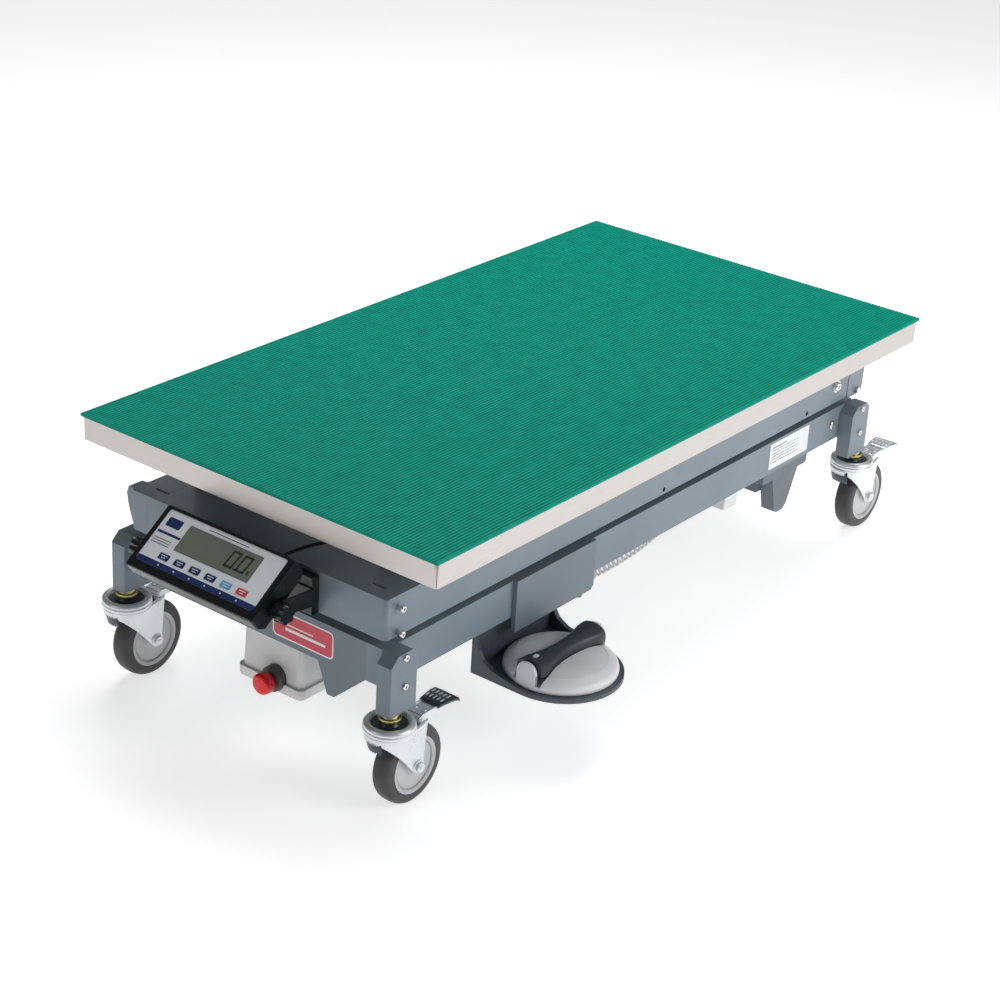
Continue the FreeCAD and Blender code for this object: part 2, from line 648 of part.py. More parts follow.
def load_cell(x0, flip):
    """A bending-beam cell: one end on a cross beam, the other under the platform."""
    y0, y1 = LOAD_CELL_Y
    z0, z1 = TOP_FRAME_Z[1], TOTAL_H - MAT_T - TRAY_H
    beam = box(x0, x0 + LOAD_CELL_L, y0, y1, z0 + 10.0, z1 - 10.0)
    foot_x = x0 if flip else x0 + LOAD_CELL_L - 34.0
    pad_x = x0 + LOAD_CELL_L - 34.0 if flip else x0
    foot = box(foot_x, foot_x + 34.0, y0, y1, z0, z0 + 10.0)
    pad = rod(vec(pad_x + 17.0, y0 + 15.0, z1 - 10.0), vec(pad_x + 17.0, y0 + 15.0, z1), 13.0)
    body = fuse([beam, foot, pad])
    for dx in (-12.0, 12.0):
        body = body.cut(across(x0 + LOAD_CELL_L / 2 + dx, (z0 + z1) / 2, y0 - 1.0, y1 + 1.0, 9.0))
    return body


def load_cells():
    near = [load_cell(LOAD_CELL_X[0], True), load_cell(LOAD_CELL_X[1], False)]
    return Part.makeCompound(near + [mirrored(cell) for cell in near])


def tray():
    z1 = TOTAL_H - MAT_T
    half_l = PLATFORM_L / 2 - MAT_OVERHANG
    half_w = PLATFORM_W / 2 - MAT_OVERHANG
    outer = box(-half_l, half_l, -half_w, half_w, z1 - TRAY_H, z1)
    outer = outer.makeFillet(6.0, edges_along(outer, Z))
    return outer.cut(box(-half_l + SHEET, half_l - SHEET, -half_w + SHEET, half_w - SHEET,
                         z1 - TRAY_H + SHEET, z1 - SHEET))


def mat():
    half_l, half_w = PLATFORM_L / 2, PLATFORM_W / 2
    return box(-half_l, half_l, -half_w, half_w, TOTAL_H - MAT_T, TOTAL_H)


# ---- weight indicator ----
def indicator_bracket():
    """The box on the front beam that carries the stirrup, with the cable gland."""
    x1 = TOP_FRAME_X[0]
    body = box(x1 - 15.0, x1, -128.0, 128.0, TOP_FRAME_Z[0], TOP_FRAME_Z[1] - 6.0)
    start = vec(*CABLE_START)
    gland = rod(start - vec(*CABLE_SLANT) * 14.0, start, 5.0)
    return fuse([body, gland])


def indicator_stirrup():
    """The bent strip that holds the indicator between its two arms."""
    x1 = TOP_FRAME_X[0] - 15.0
    px, pz = INDICATOR_PIVOT
    half_w = HOUSING_W / 2 + 4.0
    z0, z1 = pz - 22.0, pz + 6.0
    back = box(x1 - 2.5, x1, -half_w - 2.5, half_w + 2.5, z0, z1)
    arms = []
    for side in (-1, 1):
        y0, y1 = sorted((side * half_w, side * (half_w + 2.5)))
        flat = plate_xz([(x1, z0), (x1, z1), (px, pz + 12.0), (px, pz - 12.0)], y0, y1)
        arms += [flat, across(px, pz, y0, y1, 12.0)]
    bail = fuse([back] + arms)
    reach = half_w + 4.0
    return bail.cut(across(px, pz, -reach, reach, 4.4))


def tilted(shape):
    """Turn a shape drawn flat about the indicator pivot into the reading position."""
    px, pz = INDICATOR_PIVOT
    turned = shape.copy()
    turned.rotate(vec(0, 0, 0), Y, -INDICATOR_TILT)
    turned.translate(vec(px, 0, pz))
    return turned


def indicator_housing():
    """Drawn flat: x runs up the slope of the face and z stands square to the face."""
    x0, x1 = HOUSING_X
    z0, z1 = HOUSING_Z
    half_w = HOUSING_W / 2
    profile = [(x0, z0 + 14.0), (x0 + 10.0, z0), (x1 - 10.0, z0), (x1, z0 + 10.0), (x1, z1), (x0, z1)]
    body = plate_xz(profile, -half_w, half_w)
    body = body.makeFillet(3.0, edges_along(body, Z) + edges_along(body, Y, lambda middle: middle.z > z1 - 1.0))
    bosses = [across(0.0, 0.0, *sorted((side * half_w, side * (half_w + 3.7))), 8.0) for side in (-1, 1)]
    studs = [across(0.0, 0.0, *sorted((side * half_w, side * (half_w + 6.8))), 4.0) for side in (-1, 1)]
    return tilted(fuse([body] + bosses + studs))


def tilt_knobs():
    """Two lobed clamping knobs on the pivot studs."""
    knobs = []
    for side in (-1, 1):
        start = side * (HOUSING_W / 2 + 8.0)
        y0, y1 = sorted((start, start + side * 18.0))
        body = across(0.0, 0.0, y0, y1, 15.0)
        for index in range(6):
            angle = math.radians(60.0 * index)
            body = body.cut(across(18.5 * math.cos(angle), 18.5 * math.sin(angle), y0 - 1.0, y1 + 1.0, 6.0))
        hub = across(0.0, 0.0, *sorted((start, start - side * 1.2)), 7.0)
        knobs.append(tilted(fuse([body, hub])))
    return Part.makeCompound(knobs)


def indicator_cable():
    return route_solid([vec(*point) for point in CABLE_ROUTE], CABLE_R)


# ---- castors ----
def ring_of(profile, x, y, z):
    """Revolve (radius, offset) points about an axis along y through the given point."""
    corners = [vec(x + radius, y + offset, z) for radius, offset in profile]
    return Part.Face(Part.makePolygon(corners + corners[:1])).revolve(vec(x, y, z), Y, 360)


def castor_tyre(x, y):
    w = TYRE_W / 2
    profile = [(HUB_R, -w), (WHEEL_R - 7.0, -w), (WHEEL_R - 2.0, -w + 5.0), (WHEEL_R, -w + 10.0),
               (WHEEL_R, w - 10.0), (WHEEL_R - 2.0, w - 5.0), (WHEEL_R - 7.0, w), (HUB_R, w)]
    return ring_of(profile, x + CASTOR_TRAIL, y, WHEEL_R)


def castor_hub(x, y):
    w = TYRE_W / 2
    bore = AXLE_R + RUN_GAP
    profile = [(bore, -w - 1.5), (14.0, -w - 1.5), (18.0, -w + 3.0), (34.0, -w + 3.0), (38.0, -w), (HUB_R, -w),
               (HUB_R, w), (38.0, w), (34.0, w - 3.0), (18.0, w - 3.0), (14.0, w + 1.5), (bore, w + 1.5)]
    return ring_of(profile, x + CASTOR_TRAIL, y, WHEEL_R)


def castor_fork(x, y):
    """Swivel head, both fork plates and the axle bolt."""
    z0, z1 = HEAD_Z
    head = rod(vec(x, y, z0), vec(x, y, z1), HEAD_R)
    head = head.makeChamfer(4.0, [e for e in head.Edges if abs(e.CenterOfMass.z - z1) < 0.1])
    race = rod(vec(x, y, z0 - 3.0), vec(x, y, z0), HEAD_R - 3.0)
    ax, az = x + CASTOR_TRAIL, WHEEL_R
    pivot_x, pivot_z = PEDAL_PIVOT
    profile = [(x - 30.0, z0 - 1.0), (x - 32.0, z0 - 10.0), (x - 22.0, 108.0), (x - 2.0, 92.0), (x + 16.0, 78.0),
               (ax - 13.0, az - 2.0), (ax - 9.0, az - 11.0), (ax + 9.0, az - 11.0), (ax + 14.0, az - 2.0),
               (ax + 16.0, 100.0), (x + pivot_x + 7.0, pivot_z - 8.0), (x + pivot_x + 7.0, pivot_z + 5.0),
               (x + 30.0, z0 - 1.0)]
    cheeks = []
    for side in (-1, 1):
        y0, y1 = sorted((y + side * FORK_IN, y + side * (FORK_IN + FORK_T)))
        cheeks.append(plate_xz(profile, y0, y1))
    reach = FORK_IN + FORK_T
    crown = box(x - 26.0, x + 30.0, y - reach, y + reach, z0 - 6.0, z0)
    bolt = across(ax, az, y - reach - 5.0, y + reach + 5.0, AXLE_R)
    heads = [across(ax, az, y + side * reach, y + side * (reach + 4.0), 9.5) for side in (-1, 1)]
    pin = across(x + pivot_x, pivot_z, y - FORK_IN, y + FORK_IN, 2.5)
    return fuse([head, race, crown, bolt, pin] + cheeks + heads)


def castor_pedal(x, y):
    """The brake lever: a barrel on the pin and a tread that stands out behind the fork."""
    px, pz = x + PEDAL_PIVOT[0], PEDAL_PIVOT[1]
    tip = x + PEDAL_REACH
    half_w = PEDAL_W / 2
    barrel = across(px, pz, y - half_w, y + half_w, 6.0)
    arm_profile = [(px, pz - 5.5), (px, pz + 5.5), (px + 18.0, pz + 6.5), (tip - 20.0, pz + 5.0),
                   (tip - 20.0, pz + 1.0), (px + 16.0, pz + 1.0)]
    lever = plate_xz(arm_profile, y - half_w, y + half_w)
    wing = (half_w, half_w + 6.5)
    outline = [vec(px + 22.0, y - wing[0], 0), vec(tip, y - wing[1], 0), vec(tip, y + wing[1], 0),
               vec(px + 22.0, y + wing[0], 0)]
    tread = Part.Face(Part.makePolygon(outline + outline[:1])).extrude(vec(0, 0, 4.0))
    tread.translate(vec(0, 0, pz + 5.0))
    lever = fuse([barrel, lever, tread])
    return lever.cut(across(px, pz, y - half_w - 1.0, y + half_w + 1.0, 2.5 + RUN_GAP))


def add_castors():
    for index, (x, y) in enumerate(castor_positions(), start=1):
        parts["castor_%d_fork" % index] = castor_fork(x, y)
        parts["castor_%d_hub" % index] = castor_hub(x, y)
        parts["castor_%d_tyre" % index] = castor_tyre(x, y)
        parts["castor_%d_pedal" % index] = castor_pedal(x, y)


add_pair("base_rail", rail(LOW_FRAME_X, LOW_FRAME_Z, False, [(PIVOT_X, LOW_PIVOT_Z, SHAFT_R + RUN_GAP)]))
parts["base_beam_front"] = cross_beam(LOW_FRAME_X[0] + COVER_T, LOW_FRAME_X[0] + BEAM_T, 208.0, LOW_FRAME_Z[1])
parts["base_beam_rear"] = cross_beam(LOW_FRAME_X[1] - BEAM_T, LOW_FRAME_X[1], *LOW_FRAME_Z)
parts["base_beam_mid"] = mid_beam()
parts["leg_posts"] = Part.makeCompound([leg_post(x, y) for x, y in leg_positions()])
parts["base_screws"] = base_screws()
parts["stem_nuts"] = stem_nuts()
parts["front_cover"] = front_cover()
parts["side_cover"] = side_cover()
parts["control_shell"] = control_shell()
parts["control_base"] = control_base()
parts["stop_button"] = stop_button()
parts["stop_collar"] = stop_collar()
parts["foot_cradle"] = foot_cradle()
parts["foot_switch_body"] = foot_switch_body()
parts["foot_switch_bar"] = foot_switch_bar()
parts["foot_switch_cord"] = foot_switch_cord()
parts["junction_box"] = junction_box()
parts["side_pod"] = side_pod()
add_pair("arm_a", arm_a())
add_pair("arm_b", arm_b())
parts["roller_upper"] = roller_axle(TOP_PIVOT_Z)
parts["roller_lower"] = roller_axle(LOW_PIVOT_Z)
parts["crank_shaft"] = crank_shaft()
parts["centre_shaft"] = centre_shaft()
parts["upper_shaft"] = upper_shaft()
parts["actuator_body"] = actuator_body()
parts["actuator_rod"] = actuator_rod()
parts["top_rail_near"] = top_rail()
parts["top_rail_far"] = fuse([mirrored(top_rail()), far_corner_guard()])
parts["top_beam_front"] = top_beam_front()
parts["top_beam_rear"] = top_beam_rear()
parts["frame_screws"] = frame_screws()
parts["load_cells"] = load_cells()
parts["tray"] = tray()
parts["mat"] = mat()
parts["indicator_bracket"] = indicator_bracket()
parts["indicator_stirrup"] = indicator_stirrup()
parts["indicator_housing"] = indicator_housing()
parts["tilt_knobs"] = tilt_knobs()
parts["indicator_cable"] = indicator_cable()
add_castors()
write_parts()
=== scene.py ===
import bpy
import bmesh
import json
import math
from mathutils import Matrix, Vector


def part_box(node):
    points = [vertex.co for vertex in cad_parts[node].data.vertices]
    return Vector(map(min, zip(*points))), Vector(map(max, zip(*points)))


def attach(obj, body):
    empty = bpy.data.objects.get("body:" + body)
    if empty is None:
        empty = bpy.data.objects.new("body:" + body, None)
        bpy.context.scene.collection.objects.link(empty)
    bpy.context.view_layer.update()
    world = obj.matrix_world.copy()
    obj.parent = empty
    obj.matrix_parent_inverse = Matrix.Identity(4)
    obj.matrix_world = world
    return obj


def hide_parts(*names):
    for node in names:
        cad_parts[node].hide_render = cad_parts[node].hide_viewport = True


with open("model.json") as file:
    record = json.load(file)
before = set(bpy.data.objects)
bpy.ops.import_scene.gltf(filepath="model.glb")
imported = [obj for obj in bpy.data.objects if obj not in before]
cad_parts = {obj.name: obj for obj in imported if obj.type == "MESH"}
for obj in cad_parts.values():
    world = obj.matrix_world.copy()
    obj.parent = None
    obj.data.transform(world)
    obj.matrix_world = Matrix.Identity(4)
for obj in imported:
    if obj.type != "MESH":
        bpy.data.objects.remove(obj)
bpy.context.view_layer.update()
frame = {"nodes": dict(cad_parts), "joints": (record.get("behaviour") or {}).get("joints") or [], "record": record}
nodes = frame["nodes"]
MM = 0.001
table_middle = (Vector(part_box("mat")[0]) + Vector(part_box("mat")[1])) / 2

# Both cords follow the routes of their CAD tubes, in metres
FOOT_CORD_ROUTE = [(0.243, -0.170, 0.184), (0.189, -0.170, 0.184), (0.129, -0.176, 0.183),
                   (0.069, -0.190, 0.181), (0.011, -0.198, 0.1795), (-0.049, -0.201, 0.179),
                   (-0.107, -0.202, 0.180), (-0.161, -0.201, 0.181), (-0.207, -0.201, 0.181)]
CABLE_ROUTE = [(-0.636, -0.026, 0.337), (-0.636, -0.0532, 0.3574), (-0.618, -0.086, 0.374),
               (-0.587, -0.098, 0.371), (-0.555, -0.102, 0.366), (-0.538, -0.115, 0.364),
               (-0.538, -0.134, 0.364)]
COIL_R = 7.6 * MM
COIL_PITCH = 12.5 * MM
COIL_STEPS = 16    # points to a turn
STRAND_R = 2.3 * MM
CABLE_R = 2.6 * MM


# ---- camera, light and floor ----
def add_camera():
    """The camera stands beyond the indicator's end, on the foot switch's side."""
    data = bpy.data.cameras.new("camera")
    data.lens = 84.19
    data.sensor_width = 36.0
    data.clip_end = 50.0
    camera = bpy.data.objects.new("camera", data)
    camera.location = (-2.8045, -2.0553, 1.8591)
    camera.rotation_euler = (1.12397, -0.05288, -0.89621)
    bpy.context.scene.collection.objects.link(camera)
    bpy.context.scene.camera = camera


def add_softbox(name, place, target, size, power):
    """A rectangular lamp at a place, turned towards its target."""
    data = bpy.data.lights.new(name, "AREA")
    data.shape = "RECTANGLE"
    data.size, data.size_y = size
    data.energy = power
    lamp = bpy.data.objects.new(name, data)
    lamp.location = place
    lamp.rotation_euler = (Vector(target) - Vector(place)).to_track_quat("-Z", "Y").to_euler()
    bpy.context.scene.collection.objects.link(lamp)


def add_studio():
    """A faint white surround and three lamps: near side, above, and in front of the indicator."""
    world = bpy.data.worlds.new("studio")
    world.use_nodes = True
    background = world.node_tree.nodes["Background"]
    background.inputs["Color"].default_value = (1.0, 1.0, 1.0, 1.0)
    background.inputs["Strength"].default_value = 0.11
    bpy.context.scene.world = world
    middle = (0.0, 0.0, 0.3)
    add_softbox("key", (1.0, -3.6, 1.9), middle, (2.4, 1.6), 62.0)
    add_softbox("top", (1.1, 0.6, 3.2), middle, (2.8, 2.4), 80.0)
    add_softbox("front", (-3.4, 0.8, 1.6), middle, (1.6, 1.2), 7.0)
    bpy.context.scene.view_settings.view_transform = "Standard"


def add_floor():
    """Pale paper that glows a little, so that it stays white behind the table."""
    bm = bmesh.new()
    bmesh.ops.create_grid(bm, x_segments=8, y_segments=8, size=12.0)
    data = bpy.data.meshes.new("floor")
    bm.to_mesh(data)
    bm.free()
    floor = bpy.data.objects.new("floor", data)
    bpy.context.scene.collection.objects.link(floor)
    material, tree, surface = shader("floor_paper", (0.93, 0.93, 0.93), 0.9, Emission_Strength=0.62)
    surface.inputs["Emission Color"].default_value = (1.0, 1.0, 1.0, 1.0)
    vary_colour(tree, surface, noise(tree, 40.0), (0.92, 0.92, 0.92), (0.94, 0.94, 0.94))
    data.materials.append(material)


# ---- shader helpers ----
def shader(name, colour, roughness, metallic=0.0, **sockets):
    """A new material with its node tree and its Principled shader."""
    material = bpy.data.materials.new(name)
    material.use_nodes = True
    surface = material.node_tree.nodes["Principled BSDF"]
    surface.inputs["Base Color"].default_value = (*colour, 1.0)
    surface.inputs["Roughness"].default_value = roughness
    surface.inputs["Metallic"].default_value = metallic
    for socket, value in sockets.items():
        surface.inputs[socket.replace("_", " ")].default_value = value
    return material, material.node_tree, surface


def noise(tree, scale, detail=3.0, stretch=(1.0, 1.0, 1.0)):
    """Noise fixed to the object; stretch below 1 draws the grain out along that axis."""
    place = tree.nodes.new("ShaderNodeTexCoord").outputs["Object"]
    mapping = tree.nodes.new("ShaderNodeMapping")
    mapping.inputs["Scale"].default_value = stretch
    texture = tree.nodes.new("ShaderNodeTexNoise")
    texture.inputs["Scale"].default_value = scale
    texture.inputs["Detail"].default_value = detail
    tree.links.new(place, mapping.inputs["Vector"])
    tree.links.new(mapping.outputs["Vector"], texture.inputs["Vector"])
    return texture.outputs["Fac"]


def vary_colour(tree, surface, value, low, high, between=(0.35, 0.65)):
    """Let the base colour run from low to high with a noise value."""
    ramp = tree.nodes.new("ShaderNodeValToRGB")
    ramp.color_ramp.elements[0].position = between[0]
    ramp.color_ramp.elements[0].color = (*low, 1.0)
    ramp.color_ramp.elements[1].position = between[1]
    ramp.color_ramp.elements[1].color = (*high, 1.0)
    tree.links.new(value, ramp.inputs["Fac"])
    tree.links.new(ramp.outputs["Color"], surface.inputs["Base Color"])


def vary_roughness(tree, surface, value, low, high):
    """Let the roughness run from low to high with a noise value."""
    span = tree.nodes.new("ShaderNodeMapRange")
    span.inputs["From Min"].default_value = 0.3
    span.inputs["From Max"].default_value = 0.7
    span.inputs["To Min"].default_value = low
    span.inputs["To Max"].default_value = high
    tree.links.new(value, span.inputs["Value"])
    tree.links.new(span.outputs["Result"], surface.inputs["Roughness"])


def add_bump(tree, surface, value, strength, distance):
    """Raise the surface by a noise value; distance is in metres."""
    bump = tree.nodes.new("ShaderNodeBump")
    bump.inputs["Strength"].default_value = strength
    bump.inputs["Distance"].default_value = distance
    tree.links.new(value, bump.inputs["Height"])
    tree.links.new(bump.outputs["Normal"], surface.inputs["Normal"])


# ---- materials ----
def painted(name, colour, roughness=0.42):
    """Sprayed paint: faint orange peel, a little tone variation and a thin clear skin."""
    material, tree, surface = shader(name, colour, roughness, Coat_Weight=0.15, Coat_Roughness=0.25)
    cloud = noise(tree, 5.0)
    vary_colour(tree, surface, cloud, [c * 0.94 for c in colour], [c * 1.05 for c in colour])
    vary_roughness(tree, surface, noise(tree, 30.0), roughness - 0.05, roughness + 0.07)
    add_bump(tree, surface, noise(tree, 900.0, 2.0), 0.12, 0.0002)
    return material


def brushed(name, colour, roughness, grain=(1.0, 60.0, 60.0)):
    """Metal with fine parallel scratches, drawn out along the axis that grain leaves at 1."""
    material, tree, surface = shader(name, colour, roughness, 1.0)
    lines = noise(tree, 25.0, 6.0, grain)
    vary_colour(tree, surface, lines, [c * 0.9 for c in colour], [c * 1.05 for c in colour])
    vary_roughness(tree, surface, lines, roughness - 0.06, roughness + 0.1)
    add_bump(tree, surface, lines, 0.25, 0.0001)
    return material


def plated(name, colour, roughness=0.22, metallic=1.0):
    """Plated steel: bright, with soft clouding in the finish."""
    material, tree, surface = shader(name, colour, roughness, metallic)
    cloud = noise(tree, 25.0, 1.0)
    vary_colour(tree, surface, cloud, [c * 0.96 for c in colour], colour)
    vary_roughness(tree, surface, cloud, roughness - 0.05, roughness + 0.08)
    add_bump(tree, surface, noise(tree, 60.0, 1.0), 0.04, 0.0001)
    return material


def moulded(name, colour, roughness=0.45, grain=0.2, scale=1500.0):
    """Injection-moulded plastic with a fine texture."""
    material, tree, surface = shader(name, colour, roughness)
    cloud = noise(tree, 12.0)
    vary_colour(tree, surface, cloud, [c * 0.95 for c in colour], [min(c * 1.04, 1.0) for c in colour])
    vary_roughness(tree, surface, noise(tree, 60.0), roughness - 0.05, roughness + 0.06)
    add_bump(tree, surface, noise(tree, scale, 2.0), grain, 0.00015)
    return material


def rubbery(name, colour, roughness=0.6):
    """Rubber: matt, with a dusty bloom."""
    material, tree, surface = shader(name, colour, roughness, Specular_IOR_Level=0.1)
    cloud = noise(tree, 35.0)
    vary_colour(tree, surface, cloud, [c * 0.92 for c in colour], [min(c * 1.07, 1.0) for c in colour])
    vary_roughness(tree, surface, noise(tree, 90.0), roughness - 0.08, roughness + 0.1)
    add_bump(tree, surface, noise(tree, 1200.0), 0.25, 0.0002)
    return material


def make_materials():
    """One material for each slot of the record, and the prints and glass of the panels."""
    slate = (0.185, 0.235, 0.278)
    return {
        "frame_paint": painted("frame_paint", slate),
        "leg_paint": painted("leg_paint", (0.178, 0.226, 0.268)),
        "cover_paint": painted("cover_paint", (0.155, 0.196, 0.232)),
        "arm_paint": painted("arm_paint", (0.05, 0.06, 0.07)),
        "stainless": brushed("stainless", (0.57, 0.54, 0.52), 0.36),
        "green_rubber": rubbery("green_rubber", (0.0, 0.315, 0.230), 0.55),
        "zinc": plated("zinc", (0.80, 0.84, 0.865), 0.3, 0.62),
        "yellow_zinc": plated("yellow_zinc", (0.62, 0.52, 0.22), 0.3),
        "steel_screw": plated("steel_screw", (0.70, 0.70, 0.70), 0.2),
        "shaft_steel": brushed("shaft_steel", (0.5, 0.5, 0.5), 0.3, (60.0, 1.0, 60.0)),
        # The load cells' near-black is painted shade: the shadow under the tray is put into their paint, not their
        # own metal colour.
        "cell_metal": painted("cell_metal", (0.045, 0.05, 0.055), 0.4),
        "control_grey": moulded("control_grey", (0.75, 0.75, 0.75), 0.45, 0.06),
        "stop_red": moulded("stop_red", (0.88, 0.006, 0.012), 0.28, 0.02),
        "black_plastic": moulded("black_plastic", (0.008, 0.009, 0.011), 0.22, 0.015, 400.0),
        "dark_plastic": moulded("dark_plastic", (0.080, 0.085, 0.090), 0.45, 0.05),
        "cradle_grey": moulded("cradle_grey", (0.060, 0.078, 0.095), 0.42, 0.06),
        "switch_white": moulded("switch_white", (0.86, 0.86, 0.88), 0.4, 0.05),
        "switch_dark": moulded("switch_dark", (0.030, 0.038, 0.047), 0.42),
        "pod_grey": moulded("pod_grey", (0.135, 0.168, 0.198), 0.45),
        "cord_grey": rubbery("cord_grey", (0.66, 0.66, 0.65), 0.5),
        "cable_black": rubbery("cable_black", (0.008, 0.008, 0.009), 0.42),
        "wheel_hub": moulded("wheel_hub", (0.56, 0.56, 0.58), 0.45, 0.05),
        "wheel_tyre": rubbery("wheel_tyre", (0.095, 0.092, 0.094), 0.4),
        "bracket_black": painted("bracket_black", (0.008, 0.009, 0.010), 0.38),
        "pedal_metal": painted("pedal_metal", (0.025, 0.048, 0.055), 0.35),
        # This white is print on the panels and labels, and a painted highlight on the brake pedals' grip strips.
        "white_print_and_highlight": moulded("white_print_and_highlight", (0.84, 0.87, 0.90), 0.35, 0.02),
        "print_navy": moulded("print_navy", (0.012, 0.035, 0.15), 0.35, 0.04),
        "print_blue": moulded("print_blue", (0.12, 0.45, 0.72), 0.35, 0.04),
        "print_red": moulded("print_red", (0.68, 0.055, 0.085), 0.38, 0.04),
        "print_grey": moulded("print_grey", (0.16, 0.17, 0.18), 0.4, 0.04),
        "screen_glass": moulded("screen_glass", (0.185, 0.215, 0.175), 0.18, 0.005),
        "screen_ink": moulded("screen_ink", (0.035, 0.048, 0.040), 0.3, 0.005),
    }


materials = make_materials()


def dress_cad_nodes():
    """Every carried-over CAD node takes its slot's material and slightly broken edges."""
    for entry in frame["record"]["subparts"]:
        node = nodes[entry["node"]]
        node.data.materials.clear()
        node.data.materials.append(materials[entry["material_slot"]])
        weld = node.modifiers.new("weld", "WELD")
        weld.merge_threshold = 0.00001
        add_bevel(node, 0.6)


def add_bevel(piece, width, segments=2):
    """Break the sharp edges of a piece; width is in millimetres."""
    bevel = piece.modifiers.new("edges", "BEVEL")
    bevel.width = width * MM
    bevel.segments = segments
    bevel.limit_method = "ANGLE"
    bevel.angle_limit = math.radians(38.0)
    bevel.harden_normals = True


# ---- cords ----
def add_curve(name, points, radius, material):
    """A smooth round cord with the route's points as its control points."""
    data = bpy.data.curves.new(name, "CURVE")
    data.dimensions = "3D"
    spline = data.splines.new("NURBS")
    spline.points.add(len(points) - 1)
    for control, place in zip(spline.points, points):
        control.co = (*place, 1.0)
    spline.order_u = 3
    spline.use_endpoint_u = True
    data.resolution_u = 6
    data.bevel_depth = radius
    data.bevel_resolution = 4
    data.use_fill_caps = True
    data.materials.append(materials[material])
    curve = bpy.data.objects.new(name, data)
    bpy.context.scene.collection.objects.link(curve)
    return curve


def line_along(route):
    """Points read from the smooth line of a route, close together."""
    guide = add_curve("guide", route, 0.0, "cord_grey")
    guide.data.resolution_u = 24
    line = bpy.data.meshes.new_from_object(guide)
    points = [vertex.co.copy() for vertex in line.vertices]
    bpy.data.objects.remove(guide)
    bpy.data.meshes.remove(line)
    return points


def evenly(points, step):
    """The same line with its points about one step apart."""
    total = sum((b - a).length for a, b in zip(points, points[1:]))
    count = round(total / step)
    spaced = [points[0]]
    walked = 0.0
    for a, b in zip(points, points[1:]):
        span = (b - a).length
        while len(spaced) < count and walked + span >= total * len(spaced) / count:
            share = (total * len(spaced) / count - walked) / span
            spaced.append(a.lerp(b, share))
        walked += span
    return spaced + [points[-1]]


def coil_round(route):
    """The turns of a curly cord, which grow out of the straight line at both ends."""
    line = evenly(line_along(route), COIL_PITCH / COIL_STEPS)
    turns = []
    last = len(line) - 1
    side = Vector((0, 0, 1))
    for index, point in enumerate(line):
        ahead = (line[min(index + 1, last)] - line[max(index - 1, 0)]).normalized()
        side = (side - ahead * side.dot(ahead)).normalized()
        angle = 2 * math.pi * index / COIL_STEPS
        from_end = min(index, last - index) / COIL_STEPS
        radius = COIL_R * min(from_end, 1.0)
        turns.append(point + radius * (side * math.cos(angle) + ahead.cross(side) * math.sin(angle)))
    return turns


def add_cords():
    """The curly cord of the foot switch and the indicator's lead, in place of their CAD tubes."""
    coil = add_curve("foot_switch_coil", coil_round(FOOT_CORD_ROUTE), STRAND_R, "cord_grey")
    coil.data.resolution_u = 3
    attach(coil, "base")
    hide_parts("foot_switch_cord")
    cable = add_curve("indicator_lead", CABLE_ROUTE, CABLE_R, "cable_black")
    cable.data.resolution_u = 16
    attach(cable, "platform")
    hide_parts("indicator_cable")


# ---- shapes, in millimetres: each is a list of points and a list of faces ----
def lathe(profile, steps=64):
    """A closed outline of (radius, height) turned about z."""
    points = []
    count = len(profile)
    for step in range(steps):
        angle = 2 * math.pi * step / steps
        for radius, height in profile:
            points.append((radius * math.cos(angle), radius * math.sin(angle), height))
    faces = []
    for step in range(steps):
        here, there = step * count, (step + 1) % steps * count
        for index in range(count):
            after = (index + 1) % count
            faces.append((here + index, there + index, there + after, here + after))
    return points, faces


def prism(outline, z0, z1):
    """A flat outline of (x, y) points thickened from z0 to z1."""
    count = len(outline)
    points = [(x, y, z0) for x, y in outline] + [(x, y, z1) for x, y in outline]
    sides = [(i, (i + 1) % count, (i + 1) % count + count, i + count) for i in range(count)]
    return points, sides + [tuple(reversed(range(count))), tuple(range(count, 2 * count))]


def rounded(x0, x1, y0, y1, radius, steps=5):
    """The outline of a rectangle with round corners."""
    corners = [(x1 - radius, y1 - radius, 0), (x0 + radius, y1 - radius, 90),
               (x0 + radius, y0 + radius, 180), (x1 - radius, y0 + radius, 270)]
    outline = []
    for x, y, start in corners:
        for step in range(steps + 1):
            angle = math.radians(start + 90 * step / steps)
            outline.append((x + radius * math.cos(angle), y + radius * math.sin(angle)))
    return outline


def grid(rows):
    """A surface through rows of points, each with as many points as the next."""
    width = len(rows[0])
    faces = []
    for row in range(len(rows) - 1):
        for index in range(width - 1):
            start = row * width + index
            faces.append((start, start + 1, start + width + 1, start + width))
    return [point for row in rows for point in row], faces


def tube_of(sections):
    """A closed body through ring-shaped sections, capped at both ends."""
    width = len(sections[0])
    points = [point for section in sections for point in section]
    faces = []
    for row in range(len(sections) - 1):
        for index in range(width):
            after = (index + 1) % width
            start = row * width
            faces.append((start + index, start + after, start + width + after, start + width + index))
    last = (len(sections) - 1) * width
    return points, faces + [tuple(reversed(range(width))), tuple(range(last, last + width))]


def joined(*shapes):
    """Several shapes as one."""
    points, faces = [], []
    for some_points, some_faces in shapes:
        shift = len(points)
        points += list(some_points)
        faces += [tuple(index + shift for index in face) for face in some_faces]
    return points, faces


def turned(shape, matrix):
    """A shape moved by a matrix."""
    return [tuple(matrix @ Vector(point)) for point in shape[0]], shape[1]


def along_y(x, y, z):
    """The placing of a shape whose own z axis runs across the table."""
    return Matrix.Translation((x, y, z)) @ Matrix.Rotation(math.radians(-90), 4, "X")


def bars(boxes, z0, z1):
    """Plain printed strips, each given by its two opposite corners."""
    return joined(*[prism([(x0, y0), (x1, y0), (x1, y1), (x0, y1)], z0, z1) for x0, x1, y0, y1 in boxes])


